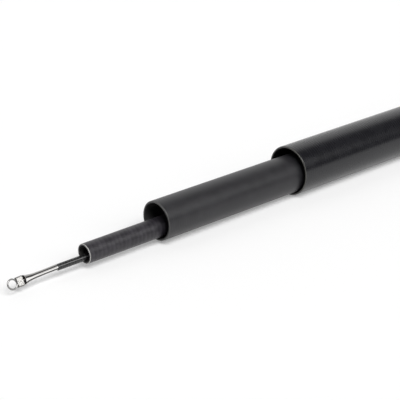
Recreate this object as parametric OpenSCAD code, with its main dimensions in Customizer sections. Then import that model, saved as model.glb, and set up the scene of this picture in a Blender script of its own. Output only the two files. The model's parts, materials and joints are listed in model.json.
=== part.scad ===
// Telescopic fishing pole, collapsed and lying on a flat surface.
// +X runs along the pole from the tip to the butt, +Z is up, and Z = 0 is the surface it lies on.
// Every tube lies on the bottom wall of the tube around it, so the tubes are not on one axis:
// their lowest lines are parallel, and each tube slides along its own lowest line.
// All sizes are in millimetres, and tapers are in millimetres of diameter per metre of length.

/* [Butt section] */
// Length of the butt tube
butt_length = 995; // [900:5:1100]
// Outside diameter of the butt tube at its mouth
butt_mouth_od = 18; // [17.5:0.1:20]
// Growth of the butt tube's diameter per metre
butt_taper = 3.2; // [2:0.1:5]
// Wall of the butt tube
butt_wall = 0.65; // [0.6:0.05:0.9]

/* [Middle section] */
// How far the middle tube stands out of the butt tube when collapsed
mid_protrusion = 61; // [40:1:90]
// Outside diameter of the middle tube at its mouth
mid_mouth_od = 13.6; // [12.5:0.1:14.4]
// Wall of the middle tube
mid_wall = 0.7; // [0.5:0.05:0.9]
// Length of the middle tube left in the butt tube when drawn out
mid_overlap = 75; // [60:1:120]

/* [Upper section] */
// How far the upper tube stands out of the middle tube when collapsed
upper_protrusion = 29.2; // [20:0.1:50]
// Outside diameter of the upper tube at its mouth
upper_mouth_od = 6.6; // [6:0.1:8]
// Wall of the upper tube
upper_wall = 0.6; // [0.4:0.05:0.8]
// Length of the upper tube left in the middle tube when drawn out
upper_overlap = 70; // [55:1:110]

/* [Tip section] */
// Bare solid tip that shows between the upper tube and the sleeve when collapsed
tip_protrusion = 10.3; // [5:0.1:30]
// Diameter of the solid tip behind the sleeve
tip_od = 2.1; // [1.9:0.05:2.4]
// Length of the tip left in the upper tube when drawn out
tip_overlap = 60; // [45:1:100]
// Diameter of the tip's spigot in the sleeve
spigot_od = 1.1; // [0.8:0.05:1.2]
// Length of the tip's spigot
spigot_length = 6; // [4:0.1:7]
// How far the fitting hangs down from the tip's line, in degrees
tip_droop = 1.6; // [0:0.1:3]
// How far the fitting is set above the tip's centre line
tip_lift = 0.2; // [0:0.05:0.3]

/* [Swivel tip fitting] */
// Length of the metal sleeve with its bell
sleeve_length = 12.1; // [11:0.1:16]
// Outside diameter of the sleeve's straight part
sleeve_od = 1.8; // [1.7:0.05:2]
// Length of the flared bell at the sleeve's front
bell_length = 5.5; // [3.5:0.1:6]
// Suddenness of the bell's flare, the power of its curve
bell_flare = 2.5; // [2:0.5:4]
// Outside diameter of the bell's rim
bell_od = 3.1; // [2.9:0.05:3.6]
// Inside diameter of the bell's mouth
bell_mouth_od = 2.7; // [2.4:0.05:2.8]
// Diameter of the chamber in the bell
chamber_od = 1.4; // [1.35:0.05:1.5]
// Thickness of the bush pressed into the bell
bush_length = 0.8; // [0.6:0.1:1]
// How far the bush lies inside the bell's mouth
bush_recess = 0.7; // [0.5:0.05:0.9]
// Diameter of the swivel pin
pin_od = 0.7; // [0.6:0.05:0.8]
// Diameter of the swivel pin's head
pin_head_od = 1.2; // [1.1:0.05:1.25]
// Thickness of the swivel pin's head
pin_head_length = 0.5; // [0.4:0.05:0.7]
// Length of the pin that shows between the bell and the barrel
neck_length = 0.4; // [0.3:0.1:2]
// Width of the swivel's flattened barrel
barrel_od = 3.2; // [3:0.05:3.6]
// Thickness of the barrel between its two flats
barrel_flat = 1.2; // [1.1:0.05:1.6]
// Length of the swivel barrel
barrel_length = 2.2; // [1.8:0.1:2.8]
// Depth of the pin in the barrel
pin_in_barrel = 1.3; // [1:0.1:1.4]
// Outside diameter of the line ring
ring_od = 3.6; // [3.3:0.05:5]
// Thickness of the line ring's wire
ring_wire = 0.54; // [0.4:0.02:0.7]
// Depth of the flat land round the inside of the ring
ring_land = 0.04; // [0.03:0.01:0.08]
// How far the ring is sunk below the barrel's face before it is cut flush
ring_sink = 0.3; // [0.1:0.01:0.35]
// How far the ring's face is turned up from the side
ring_turn = 31; // [0:1:90]

/* [Grip] */
// Length of the rubber grip
grip_length = 330; // [200:5:450]
// Least thickness of the grip, at its rear end
grip_wall = 0.4; // [0.3:0.05:1]
// Length of the trim ring in front of the grip
trim_length = 7; // [4:0.5:12]
// Height of the trim ring's front edge above the tube
trim_lip = 0.25; // [0.15:0.05:0.3]

/* [Butt cap] */
// Length of the threaded collar in the butt tube
collar_length = 20; // [16:1:30]
// Wall of the threaded collar
collar_wall = 1.1; // [0.8:0.05:1.2]
// Thickness of the collar's flange
collar_flange = 2.5; // [1.5:0.1:4]
// Radial step of the collar's flange and the cap below the grip
flange_step = 0.2; // [0.1:0.05:0.3]
// Length of the knurled cap behind the collar
cap_length = 14; // [12:0.5:20]
// Number of flutes round the cap
cap_flutes = 24; // [16:1:30]
// Radius of each flute
flute_radius = 0.9; // [0.6:0.1:1]
// Length of the fluted part of the cap
flute_length = 9; // [6:0.5:10]
// Width of the coin slot
slot_width = 2.2; // [1.6:0.1:2.6]
// Length of the coin slot
slot_length = 11; // [8:0.5:12]
// Depth of the coin slot
slot_depth = 3; // [2:0.1:4]
// Lead of the cap's thread, the travel in one turn
thread_lead = 2.5; // [1.5:0.1:3]
// Turns that free the cap
thread_turns = 3; // [2:1:4]
// Depth of the thread
thread_depth = 0.25; // [0.2:0.05:0.3]
// Thickness of the sealing ring's cord
seal_cord = 1; // [0.8:0.05:1.2]
// Thickness of the bumper pad on the cap's plug
pad_thickness = 4; // [2:0.5:8]
// Radial width of the rubber foot ring in the cap's end
foot_width = 1.6; // [1:0.1:1.8]
// Depth of the foot ring in the cap
foot_depth = 1.2; // [0.8:0.1:2]
// How far the foot ring stands out of the cap
foot_proud = 0.6; // [0.3:0.1:1]

/* [Fits] */
// Turn of the butt tube's and the grip's seams from the lowest line
seam_turn = 4.2857; // [0:0.0001:90]
// Gap under the middle tube where it lies in the butt tube
mid_seat_gap = 0.15; // [0.1:0.01:0.3]
// Gap under the upper tube where it lies in the middle tube
upper_seat_gap = 0.3; // [0.1:0.01:0.4]
// Gap under the solid tip where it lies in the upper tube
tip_seat_gap = 0.4; // [0.1:0.01:0.4]
// Difference of diameter left where a drawn-out tube jams
lock_gap = 0.6; // [0.5:0.01:0.7]
// Gap between the collapsed tubes and the bumper pad
stop_gap = 0.3; // [0.2:0.05:0.5]
// Gap between bonded or pressed pieces
bond_gap = 0.01; // [0.005:0.005:0.02]
// Glue gap round the collar in the butt tube
glue_gap = 0.05; // [0.03:0.01:0.1]
// Gap between pieces that turn in each other
running_gap = 0.04; // [0.02:0.01:0.05]
// Gap round the threaded plug and its seal
thread_gap = 0.08; // [0.05:0.01:0.1]
// Chamfer on cut edges of the tubes and the cap
edge_chamfer = 0.2; // [0.1:0.05:0.25]

/* [Hidden] */
$fn = 96;
small_fn = 48;
flare_steps = 14;
// How far a cutting shape reaches past what it cuts
cut_past = 1;

per_metre = 1 / 1000;

// Places along the pole, measured from the butt tube's mouth towards the butt
stop_x = butt_length - collar_length - pad_thickness - stop_gap;
mid_mouth_x = -mid_protrusion;
upper_mouth_x = mid_mouth_x - upper_protrusion;
sleeve_rear_x = upper_mouth_x - tip_protrusion;
mid_length = stop_x - mid_mouth_x;
upper_length = stop_x - upper_mouth_x;
tip_length = stop_x - sleeve_rear_x;

// Radii at the mouth and at the rear of each section. A section's rear fits the mouth that it jams in.
function jam_radius(mouth_r, outer_mouth_od, outer_wall, length, overlap) =
    mouth_r + (outer_mouth_od / 2 - outer_wall - lock_gap / 2 - mouth_r) * length / (length - overlap);
butt_mouth_r = butt_mouth_od / 2;
butt_rear_r = butt_mouth_r + butt_taper * per_metre * butt_length / 2;
mid_mouth_r = mid_mouth_od / 2;
mid_rear_r = jam_radius(mid_mouth_r, butt_mouth_od, butt_wall, mid_length, mid_overlap);
upper_mouth_r = upper_mouth_od / 2;
upper_rear_r = jam_radius(upper_mouth_r, mid_mouth_od, mid_wall, upper_length, upper_overlap);
tip_front_r = tip_od / 2;
tip_rear_r = jam_radius(tip_front_r, upper_mouth_od, upper_wall, tip_length, tip_overlap);

// Slope of each section's side, and the height of its lowest line above the butt tube's
function slope(front_r, rear_r, length) = atan((rear_r - front_r) / length);
butt_slope = slope(butt_mouth_r, butt_rear_r, butt_length);
mid_slope = slope(mid_mouth_r, mid_rear_r, mid_length);
upper_slope = slope(upper_mouth_r, upper_rear_r, upper_length);
tip_slope = slope(tip_front_r, tip_rear_r, tip_length);
mid_bottom = butt_wall + mid_seat_gap;
upper_bottom = mid_bottom + mid_wall + upper_seat_gap;
tip_bottom = upper_bottom + upper_wall + tip_seat_gap;

// Grip, collar and cap, measured along the butt tube from its mouth
function butt_r(at) = butt_mouth_r + (butt_rear_r - butt_mouth_r) * at / butt_length;
grip_rear = butt_length;
grip_front = grip_rear - grip_length;
grip_r = butt_r(grip_rear) + grip_wall;
cap_r = grip_r - flange_step;
collar_r = butt_r(butt_length - collar_length) - butt_wall - glue_gap;
thread_r = collar_r - collar_wall;
plug_r = thread_r - thread_gap;
collar_rear = butt_length + collar_flange;
cap_rear = collar_rear + cap_length;
thread_travel = thread_lead * thread_turns;
seal_floor_r = plug_r - seal_cord;
seal_at = collar_rear - 2 * seal_cord;
pad_r = plug_r - thread_depth;
foot_r = cap_r - edge_chamfer - foot_width / 2;

// The pole lies on its mouth and on the front edge of its grip, so it leans a little
lean = asin((grip_r - butt_mouth_r - grip_front * sin(butt_slope)) / grip_front);

// Tip fitting, measured forward along the sleeve from its rear end, which just clears the tip's shoulder
sleeve_seat = bond_gap + sleeve_od / 2 * sin(tip_droop);
bell_front = sleeve_length;
barrel_rear = bell_front + neck_length;
barrel_front = barrel_rear + barrel_length;
ring_mean_r = (ring_od - ring_wire) / 2;
ring_hole_r = ring_od / 2 - ring_wire + ring_land;
ring_centre = barrel_front + ring_od / 2 - ring_sink;
bush_front = bell_front - bush_recess;
bush_rear = bush_front - bush_length;
head_front = bush_rear - running_gap;
head_rear = head_front - pin_head_length;
chamber_floor = head_rear - running_gap;
pin_front = barrel_rear + pin_in_barrel;

// The origin is under the middle of the whole pole
front_end_x = sleeve_rear_x - (sleeve_seat + ring_centre) * cos(tip_slope + tip_droop) - ring_od / 2;
rear_end_x = cap_rear + foot_proud;
middle_x = (front_end_x + rear_end_x) / 2;

// Puts the pole on its surface with the origin under its middle
module lying() {
    translate([-middle_x, 0, 0]) rotate([0, -lean, 0]) children();
}

// Lays something that points along +Z on its lowest line, pointing along the pole to the butt
module laid(x, bottom, front_r, side_slope) {
    lying() translate([x, 0, bottom + front_r * cos(side_slope)]) rotate([0, 90 - side_slope, 0]) children();
}
module on_butt() {
    laid(0, 0, butt_mouth_r, butt_slope) children();
}
// Round the butt tube, with the seam turned from the lowest line
module round_butt() {
    on_butt() rotate([0, 0, seam_turn]) children();
}
// Along the hanging fitting, pointing forward from the sleeve's rear end
module on_tip() {
    laid(sleeve_rear_x, tip_bottom, tip_front_r, tip_slope) rotate([180, 0, 0]) rotate([0, tip_droop, 0])
        translate([-tip_lift, 0, sleeve_seat]) children();
}

// A tapered tube with its mouth at Z = 0 and chamfered edges there
module tapered_tube(mouth_r, rear_r, wall, length) {
    rotate_extrude() polygon([[mouth_r - wall + edge_chamfer, 0], [mouth_r - edge_chamfer, 0],
        [mouth_r, edge_chamfer], [rear_r, length], [rear_r - wall, length], [mouth_r - wall, edge_chamfer]]);
}
module ring(outer_r, inner_r, length) {
    difference() {
        cylinder(r = outer_r, h = length);
        translate([0, 0, -cut_past]) cylinder(r = inner_r, h = length + 2 * cut_past);
    }
}

module butt_blank() {
    color("#2b2b2d") round_butt() tapered_tube(butt_mouth_r, butt_rear_r, butt_wall, butt_length);
}

module grip_sleeve() {
    color("#1a1a1b") round_butt() difference() {
        translate([0, 0, grip_front]) cylinder(r = grip_r, h = grip_length);
        cylinder(r1 = butt_mouth_r + bond_gap, r2 = butt_r(2 * butt_length) + bond_gap, h = 2 * butt_length);
    }
}

module grip_front_ring() {
    color("#4a4b4e") round_butt() rotate_extrude() polygon([
        [butt_r(grip_front - trim_length) + bond_gap, grip_front - trim_length],
        [butt_r(grip_front - trim_length) + trim_lip, grip_front - trim_length],
        [grip_r - edge_chamfer, grip_front - edge_chamfer], [grip_r - edge_chamfer, grip_front],
        [butt_r(grip_front) + bond_gap, grip_front]]);
}

module butt_collar() {
    color("#3c3d40") on_butt() difference() {
        union() {
            translate([0, 0, butt_length - collar_length])
                cylinder(r = collar_r, h = collar_length + collar_flange);
            translate([0, 0, butt_length]) cylinder(r = cap_r, h = collar_flange);
        }
        translate([0, 0, butt_length - collar_length - cut_past])
            cylinder(r = thread_r, h = collar_length + collar_flange + 2 * cut_past);
    }
}

module cap_seal_ring() {
    color("#101010") on_butt() translate([0, 0, seal_at])
        rotate_extrude() translate([seal_floor_r + running_gap + seal_cord / 2, 0])
            circle(d = seal_cord, $fn = small_fn);
}

module flutes() {
    for (i = [0 : cap_flutes - 1])
        rotate(i * 360 / cap_flutes) translate([cap_r + flute_radius / 2, 0, 0])
            cylinder(r = flute_radius, h = flute_length, $fn = small_fn);
}
module butt_cap() {
    plug_front = butt_length - collar_length;
    groove = seal_cord / 2 + running_gap;
    color("#2f3032") on_butt() difference() {
        rotate_extrude() polygon([[0, plug_front], [pad_r, plug_front], [pad_r, seal_at - thread_travel],
            [plug_r, seal_at - thread_travel + thread_depth], [plug_r, seal_at - groove],
            [seal_floor_r, seal_at - groove], [seal_floor_r, seal_at + groove],
            [plug_r, seal_at + groove], [plug_r, collar_rear],
            [cap_r - edge_chamfer, collar_rear], [cap_r, collar_rear + edge_chamfer],
            [cap_r, cap_rear - edge_chamfer], [cap_r - edge_chamfer, cap_rear], [0, cap_rear]]);
        translate([0, 0, collar_rear + (cap_length - flute_length) / 2]) flutes();
        translate([0, 0, cap_rear - foot_depth])
            ring(foot_r + bond_gap, foot_r - foot_width - bond_gap, foot_depth + cut_past);
        translate([-slot_length / 2, -slot_width / 2, cap_rear - slot_depth])
            cube([slot_length, slot_width, slot_depth + cut_past]);
    }
}

module cap_bumper_pad() {
    color("#303030") on_butt() translate([0, 0, butt_length - collar_length - pad_thickness])
        cylinder(r = pad_r, h = pad_thickness);
}

module cap_foot_ring() {
    color("#141414") on_butt() translate([0, 0, cap_rear - foot_depth])
        ring(foot_r, foot_r - foot_width, foot_depth + foot_proud);
}

module middle_blank() {
    color("#2d2d30") laid(mid_mouth_x, mid_bottom, mid_mouth_r, mid_slope)
        tapered_tube(mid_mouth_r, mid_rear_r, mid_wall, mid_length);
}

module upper_blank() {
    color("#303033") laid(upper_mouth_x, upper_bottom, upper_mouth_r, upper_slope)
        tapered_tube(upper_mouth_r, upper_rear_r, upper_wall, upper_length);
}

module tip_blank() {
    color("#19191a") union() {
        laid(sleeve_rear_x, tip_bottom, tip_front_r, tip_slope)
            cylinder(r1 = tip_front_r, r2 = tip_rear_r, h = tip_length);
        on_tip() translate([0, 0, -cut_past]) cylinder(d = spigot_od, h = spigot_length + cut_past);
    }
}

// Radius of the sleeve at a distance from its rear end: straight, then flared ever more steeply
function bell_r(at) = sleeve_od / 2
    + (bell_od - sleeve_od) / 2 * pow(max(0, at - bell_front + bell_length) / bell_length, bell_flare);
module tip_sleeve() {
    flare = [for (i = [0 : flare_steps]) bell_front - bell_length + bell_length * i / flare_steps];
    bore_r = spigot_od / 2 + bond_gap;
    color("#d9d9d8") on_tip() rotate_extrude() polygon(concat(
        [[bore_r, 0], [sleeve_od / 2, 0]],
        [for (at = flare) [bell_r(at), at]],
        [[bell_mouth_od / 2, bell_front], [chamber_od / 2, bush_front], [chamber_od / 2, chamber_floor],
        [0, chamber_floor], [0, spigot_length + bond_gap], [bore_r, spigot_length + bond_gap]]));
}

module swivel_bush() {
    color("#4b4742") on_tip() translate([0, 0, bush_rear])
        ring(chamber_od / 2 - bond_gap, pin_od / 2 + running_gap, bush_length, $fn = small_fn);
}

module swivel_pin() {
    color("#b9b6b0") on_tip() union() {
        translate([0, 0, head_rear]) cylinder(d = pin_head_od, h = pin_head_length, $fn = small_fn);
        translate([0, 0, head_rear]) cylinder(d = pin_od, h = pin_front - head_rear, $fn = small_fn);
    }
}

// A round barrel pressed flat on the two sides that face the way the ring faces
module swivel_barrel() {
    r = barrel_od / 2;
    color("#e4e3e0") on_tip() rotate([0, 0, ring_turn]) translate([0, 0, barrel_rear]) difference() {
        rotate_extrude() polygon([
            [pin_od / 2 + bond_gap, 0], [r - edge_chamfer, 0], [r, edge_chamfer],
            [r, barrel_length - edge_chamfer], [r - edge_chamfer, barrel_length],
            [0, barrel_length], [0, pin_in_barrel + bond_gap],
            [pin_od / 2 + bond_gap, pin_in_barrel + bond_gap]]);
        for (side = [0, 1])
            rotate([0, 0, 180 * side]) translate([-barrel_od, barrel_flat / 2, -cut_past])
                cube([2 * barrel_od, barrel_od, barrel_length + 2 * cut_past]);
    }
}

module line_ring() {
    color("#dcdcda") on_tip() rotate([0, 0, ring_turn]) difference() {
        translate([0, 0, ring_centre]) rotate([90, 0, 0]) rotate_extrude() difference() {
            translate([ring_mean_r, 0]) circle(d = ring_wire, $fn = small_fn);
            translate([0, -ring_wire]) square([ring_hole_r, 2 * ring_wire]);
        }
        translate([0, 0, barrel_front - ring_od]) cylinder(r = ring_od, h = ring_od);
    }
}

butt_blank();
grip_sleeve();
grip_front_ring();
butt_collar();
cap_seal_ring();
butt_cap();
cap_bumper_pad();
cap_foot_ring();
middle_blank();
upper_blank();
tip_blank();
tip_sleeve();
swivel_bush();
swivel_pin();
swivel_barrel();
line_ring();
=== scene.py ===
"""Looks of a collapsed telescopic fishing pole that lies on a pale studio floor."""

import json
import logging
import math
from dataclasses import dataclass, field
from enum import Enum
from typing import Any, Callable, ClassVar, Dict, List, Optional, Protocol, Sequence, Tuple

import bpy
import numpy as np
from mathutils import Matrix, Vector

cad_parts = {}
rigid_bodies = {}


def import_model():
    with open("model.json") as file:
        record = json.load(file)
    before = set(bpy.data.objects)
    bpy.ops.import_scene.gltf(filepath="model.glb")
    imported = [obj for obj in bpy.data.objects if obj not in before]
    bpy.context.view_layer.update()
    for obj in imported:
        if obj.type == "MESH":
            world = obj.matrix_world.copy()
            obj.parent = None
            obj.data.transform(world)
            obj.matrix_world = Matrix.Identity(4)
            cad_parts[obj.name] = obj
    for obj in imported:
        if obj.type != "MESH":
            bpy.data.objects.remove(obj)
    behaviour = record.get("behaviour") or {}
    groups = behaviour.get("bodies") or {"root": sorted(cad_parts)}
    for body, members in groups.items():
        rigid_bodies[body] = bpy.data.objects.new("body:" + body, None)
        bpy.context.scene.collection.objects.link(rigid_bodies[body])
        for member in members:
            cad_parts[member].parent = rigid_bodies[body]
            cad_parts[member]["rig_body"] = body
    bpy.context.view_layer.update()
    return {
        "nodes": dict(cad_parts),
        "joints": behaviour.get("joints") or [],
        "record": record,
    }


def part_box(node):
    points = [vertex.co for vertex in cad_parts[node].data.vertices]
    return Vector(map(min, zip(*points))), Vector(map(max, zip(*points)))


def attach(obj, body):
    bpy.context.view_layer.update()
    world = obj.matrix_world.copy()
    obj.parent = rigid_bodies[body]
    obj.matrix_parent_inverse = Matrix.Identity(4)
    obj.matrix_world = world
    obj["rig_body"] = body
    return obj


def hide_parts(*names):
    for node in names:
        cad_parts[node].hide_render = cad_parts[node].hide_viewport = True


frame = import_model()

LOG = logging.getLogger("pole")

MM = 0.001
TURN = 2.0 * math.pi
UV_NAME = "turned"

# How far from an end a corner of a CAD node may lie to count as being at that end
COARSE_END = 0.3 * MM
NEAR_END = 0.1 * MM
FINE_END = 0.05 * MM

Colour = Tuple[float, float, float]
Sizes = Tuple[float, ...]
Span = Tuple[float, float]
MaskRule = Callable[[np.ndarray, np.ndarray], np.ndarray]
Poles = Tuple[Optional[np.ndarray], Optional[np.ndarray]]


class Slot(Enum):
    """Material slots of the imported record."""

    BUTT_CARBON = "butt_carbon"
    MIDDLE_CARBON = "middle_carbon"
    UPPER_CARBON = "upper_carbon"
    TIP_CARBON = "tip_carbon"
    GRIP_RUBBER = "grip_rubber"
    TRIM_METAL = "trim_metal"
    CAP_METAL = "cap_metal"
    SEAL_RUBBER = "seal_rubber"
    PAD_RUBBER = "pad_rubber"
    FITTING_CHROME = "fitting_chrome"
    BUSH_BRASS = "bush_brass"
    PIN_STEEL = "pin_steel"
    SWIVEL_NICKEL = "swivel_nickel"


class Mask(Enum):
    """Masks that a mesh carries from its own shape to its finish."""

    # Bare rim of a tube's mouth; on the tip rod's ridge and the sleeve's flat strip, a painted
    # highlight
    RIM_AND_PAINTED_HIGHLIGHT = "rim"
    # Bore of a tube; in the tip sleeve, painted shade in the bell and the seam, and a painted dark
    # reflection
    BORE_AND_PAINTED_SHADE = "bore"
    CREST = "crest"
    EDGE = "edge"


Masks = Dict[Mask, np.ndarray]


# Lines and outlines that the round pieces are turned from


@dataclass(frozen=True)
class Axis:
    """A straight line in space that round pieces are turned about."""

    origin: np.ndarray
    along: np.ndarray
    up: np.ndarray

    @classmethod
    def on(cls, point: Sequence[float], direction: Sequence[float]) -> "Axis":
        """Makes an axis through a point.

        Args:
            point: a point of the axis, where the distance along it is zero.
            direction: the way in which the distance grows.

        Returns:
            The axis, with its up direction as near to +Z as it can be.
        """
        along = np.asarray(direction, float)
        along = along / np.linalg.norm(along)
        up = np.array([0.0, 0.0, 1.0]) - along[2] * along
        return cls(np.asarray(point, float), along, up / np.linalg.norm(up))

    @classmethod
    def of_node(cls, node: str, start: Optional[float] = None) -> "Axis":
        """Finds the axis of a round CAD node that runs along X, from the middles of two rings.

        Args:
            node: the CAD node.
            start: the X of the ring where the distance is zero, or nothing for the lowest ring.

        Returns:
            The axis from the middle of that ring to the middle of the highest ring.
        """
        points = node_points(node)
        x = points[:, 0]
        first = np.abs(x - (x.min() if start is None else start)) < NEAR_END
        rings = (points[first], points[x > x.max() - NEAR_END])
        low, high = ((ring.min(0) + ring.max(0)) / 2 for ring in rings)
        return cls.on(low, high - low)

    @property
    def side(self) -> np.ndarray:
        """Direction square to the axis and to up, so that side, up and along are right-handed."""
        return np.cross(self.up, self.along)

    def at(self, distance: float) -> np.ndarray:
        """The point of the axis at a distance from its zero."""
        return self.origin + distance * self.along

    def from_front_of(self, node: str) -> "Axis":
        """The same line with its zero at the node's lowest distance."""
        return Axis(self.at(self.measure(node)[0].min()), self.along, self.up)

    def measure(self, node: str) -> Tuple[np.ndarray, np.ndarray]:
        """Measures the corners of a CAD node against the axis.

        Args:
            node: the CAD node.

        Returns:
            Each corner's distance along the axis, and its radius from it.
        """
        offset = node_points(node) - self.origin
        along = offset @ self.along
        return along, np.linalg.norm(offset - along[:, None] * self.along, axis=1)

    def place(self, along: np.ndarray, radius: np.ndarray, angle: np.ndarray) -> np.ndarray:
        """Turns cylinder coordinates into points.

        A point is the origin + along * axis + radius * (cos(angle) * side + sin(angle) * up).

        Args:
            along: distances along the axis.
            radius: radii from the axis.
            angle: turns from the side towards up, in radians.

        Returns:
            Points with one more dimension than the broadcast inputs.
        """
        along, radius, angle = np.broadcast_arrays(along, radius, angle)
        spoke = np.cos(angle)[..., None] * self.side + np.sin(angle)[..., None] * self.up
        return self.origin + along[..., None] * self.along + radius[..., None] * spoke


@dataclass(frozen=True)
class Reach:
    """Where a round node starts and ends along an axis, and its radii there."""

    front: float
    rear: float
    front_outer: float
    front_inner: float
    rear_outer: float
    rear_inner: float

    @classmethod
    def of_node(cls, node: str, axis: Axis, edge: float = COARSE_END) -> "Reach":
        """Measures a CAD node against an axis.

        Args:
            node: the CAD node.
            axis: the axis that it is turned about.
            edge: how far from an end a corner may lie to count as being at that end.

        Returns:
            The node's reach.
        """
        along, radius = axis.measure(node)
        front = radius[along < along.min() + edge]
        rear = radius[along > along.max() - edge]
        return cls(along.min(), along.max(), front.max(), front.min(), rear.max(), rear.min())

    @property
    def length(self) -> float:
        """Length along the axis."""
        return self.rear - self.front

    def ring(self, edges: Sizes) -> np.ndarray:
        """Corners of a plain ring with this reach, from the inner front edge outwards and round."""
        return corners([(self.front, self.front_inner), (self.front, self.front_outer),
                        (self.rear, self.rear_outer), (self.rear, self.rear_inner)], edges)


def node_points(node: str) -> np.ndarray:
    """Reads the corners of a CAD node.

    Args:
        node: the CAD node's name.

    Returns:
        One corner in each row, in metres.
    """
    vertices = frame["nodes"][node].data.vertices
    flat = np.empty(3 * len(vertices))
    vertices.foreach_get("co", flat)
    return flat.reshape(-1, 3)


def joint(name: str) -> Dict[str, Any]:
    """The joint of the record that has a name."""
    return next(entry for entry in frame["joints"] if entry["name"] == name)


def mount(name: str) -> Dict[str, Any]:
    """The mount of the record that has a name."""
    return next(entry for entry in frame["record"]["mounts"] if entry["name"] == name)


def mm(*values: float) -> Sizes:
    """Millimetres as metres."""
    return tuple(value * MM for value in values)


def smooth(value: np.ndarray, low: float, high: float) -> np.ndarray:
    """Rises from 0 at low to 1 at high as 3 t^2 - 2 t^3."""
    t = np.clip((value - low) / (high - low), 0.0, 1.0)
    return t * t * (3.0 - 2.0 * t)


def between(value: np.ndarray, rise: Span, fall: Span) -> np.ndarray:
    """Rises smoothly from 0 to 1 over one span, and falls back to 0 over a later one."""
    return smooth(value, *rise) * smooth(-value, -fall[1], -fall[0])


def off_line(value: np.ndarray, period: float) -> np.ndarray:
    """How far a value is from the nearest whole number of periods, with its sign."""
    return (value + period / 2) % period - period / 2


def corners(spots: Sequence[Span], edges: Sequence[float]) -> np.ndarray:
    """Joins an outline's spots, each a distance along an axis and a radius, with roundings."""
    return np.column_stack([np.asarray(spots, float), edges])


# Limits for rounding a corner: its half angle, its share of a side, and the point past the arc
SHARPEST, FLATTEST = 0.02, math.pi / 2 - 1e-4
SIDE_SHARE = 0.45
PAST_ARC = 1.1

# Keeps a division from being by zero
TINY = 1e-12


def rounded_outline(outline: np.ndarray, closed: bool, steps: int = 6) -> np.ndarray:
    """Rounds the corners of an outline in the half-plane of distance along an axis and radius.

    At a corner, a and b are the unit directions to the points before and after it, and h is half
    the angle between them. The arc of radius f touches the sides f / tan(h) from the corner, and
    its centre lies f / sin(h) along the bisector. Points turn about the centre in equal steps, and
    one more point on each side, just past the arc, keeps the shading of the straight side flat.

    Args:
        outline: distance along the axis, radius and rounding of each corner, one in each row.
        closed: whether the last corner joins the first. The ends of an open outline stay sharp.
        steps: parts that each arc is cut into.

    Returns:
        The rounded outline's points, one in each row.
    """
    points, wanted = outline[:, :2], outline[:, 2].copy()
    if not closed:
        wanted[[0, -1]] = 0.0
    before, after = np.roll(points, 1, 0) - points, np.roll(points, -1, 0) - points
    length_a = np.linalg.norm(before, axis=1, keepdims=True)
    length_b = np.linalg.norm(after, axis=1, keepdims=True)
    a, b = before / length_a, after / length_b
    half = np.arccos(np.clip((a * b).sum(1), -1.0, 1.0))[:, None] / 2
    half = np.clip(half, SHARPEST, FLATTEST)
    reach = np.minimum(wanted[:, None] / np.tan(half), SIDE_SHARE * np.minimum(length_a, length_b))
    rounding = reach * np.tan(half)
    bisector = a + b
    bisector = bisector / np.maximum(np.linalg.norm(bisector, axis=1, keepdims=True), TINY)
    centre = points + bisector * rounding / np.sin(half)
    first, last = points + a * reach - centre, points + b * reach - centre
    turn = (math.pi - 2.0 * half)[:, :, None]
    t = np.linspace(0.0, 1.0, steps + 1)[None, :, None]
    near, far = np.sin((1.0 - t) * turn), np.sin(t * turn)
    arc = (near * first[:, None] + far * last[:, None]) / np.sin(turn)
    past = PAST_ARC * reach
    rows = np.concatenate(
        [(points + a * past)[:, None], centre[:, None] + arc, (points + b * past)[:, None]], axis=1)
    rows[wanted == 0.0] = points[wanted == 0.0][:, None]
    keep = (wanted > 0.0)[:, None] | (np.arange(steps + 3) == 0)[None, :]
    return rows[keep]


def with_stations(outline: np.ndarray, spacing: float, closed: bool) -> np.ndarray:
    """Cuts the long sides of an outline into equal parts no longer than a spacing.

    Args:
        outline: the outline's points, one in each row.
        spacing: the longest part.
        closed: whether the last point joins the first.

    Returns:
        The outline with points added on its long sides.
    """
    ends = np.roll(outline, -1, 0) if closed else outline[1:]
    starts = outline if closed else outline[:-1]
    parts = np.maximum(1, np.ceil(np.linalg.norm(ends - starts, axis=1) / spacing)).astype(int)
    side = np.repeat(np.arange(len(starts)), parts)
    part = np.arange(parts.sum()) - np.repeat(np.cumsum(parts) - parts, parts)
    share = (part / parts[side])[:, None]
    cut = starts[side] + (ends - starts)[side] * share
    return cut if closed else np.concatenate([cut, outline[-1:]])


@dataclass(frozen=True)
class Profile:
    """A rounded outline cut into stations, one in each row, ready to be carried round an axis."""

    at: np.ndarray
    out: np.ndarray
    ends: Tuple[Optional[float], Optional[float]]

    @classmethod
    def of(cls, outline: np.ndarray, closed: bool, spacing: float) -> "Profile":
        """Rounds an outline and cuts it into stations.

        Args:
            outline: its corners with their roundings, the outer side running forward.
            closed: whether it closes on itself. An open one starts and ends on the axis.
            spacing: longest part of a straight side.

        Returns:
            The profile, whose ends are the distances at which an open one meets the axis.
        """
        points = rounded_outline(outline, closed)
        ends = (None, None) if closed else (points[0, 0], points[-1, 0])
        points = with_stations(points if closed else points[1:-1], spacing, closed)
        return cls(points[:, :1], points[:, 1:], ends)

    def poles(self, axis: Axis) -> Poles:
        """The points that close the ends of an open profile."""
        return tuple(None if end is None else axis.at(end) for end in self.ends)


def angles(columns: int) -> np.ndarray:
    """Equal turns round an axis in one row, one for each column of a surface."""
    return np.arange(columns)[None, :] * TURN / columns


# Surfaces as meshes


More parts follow.
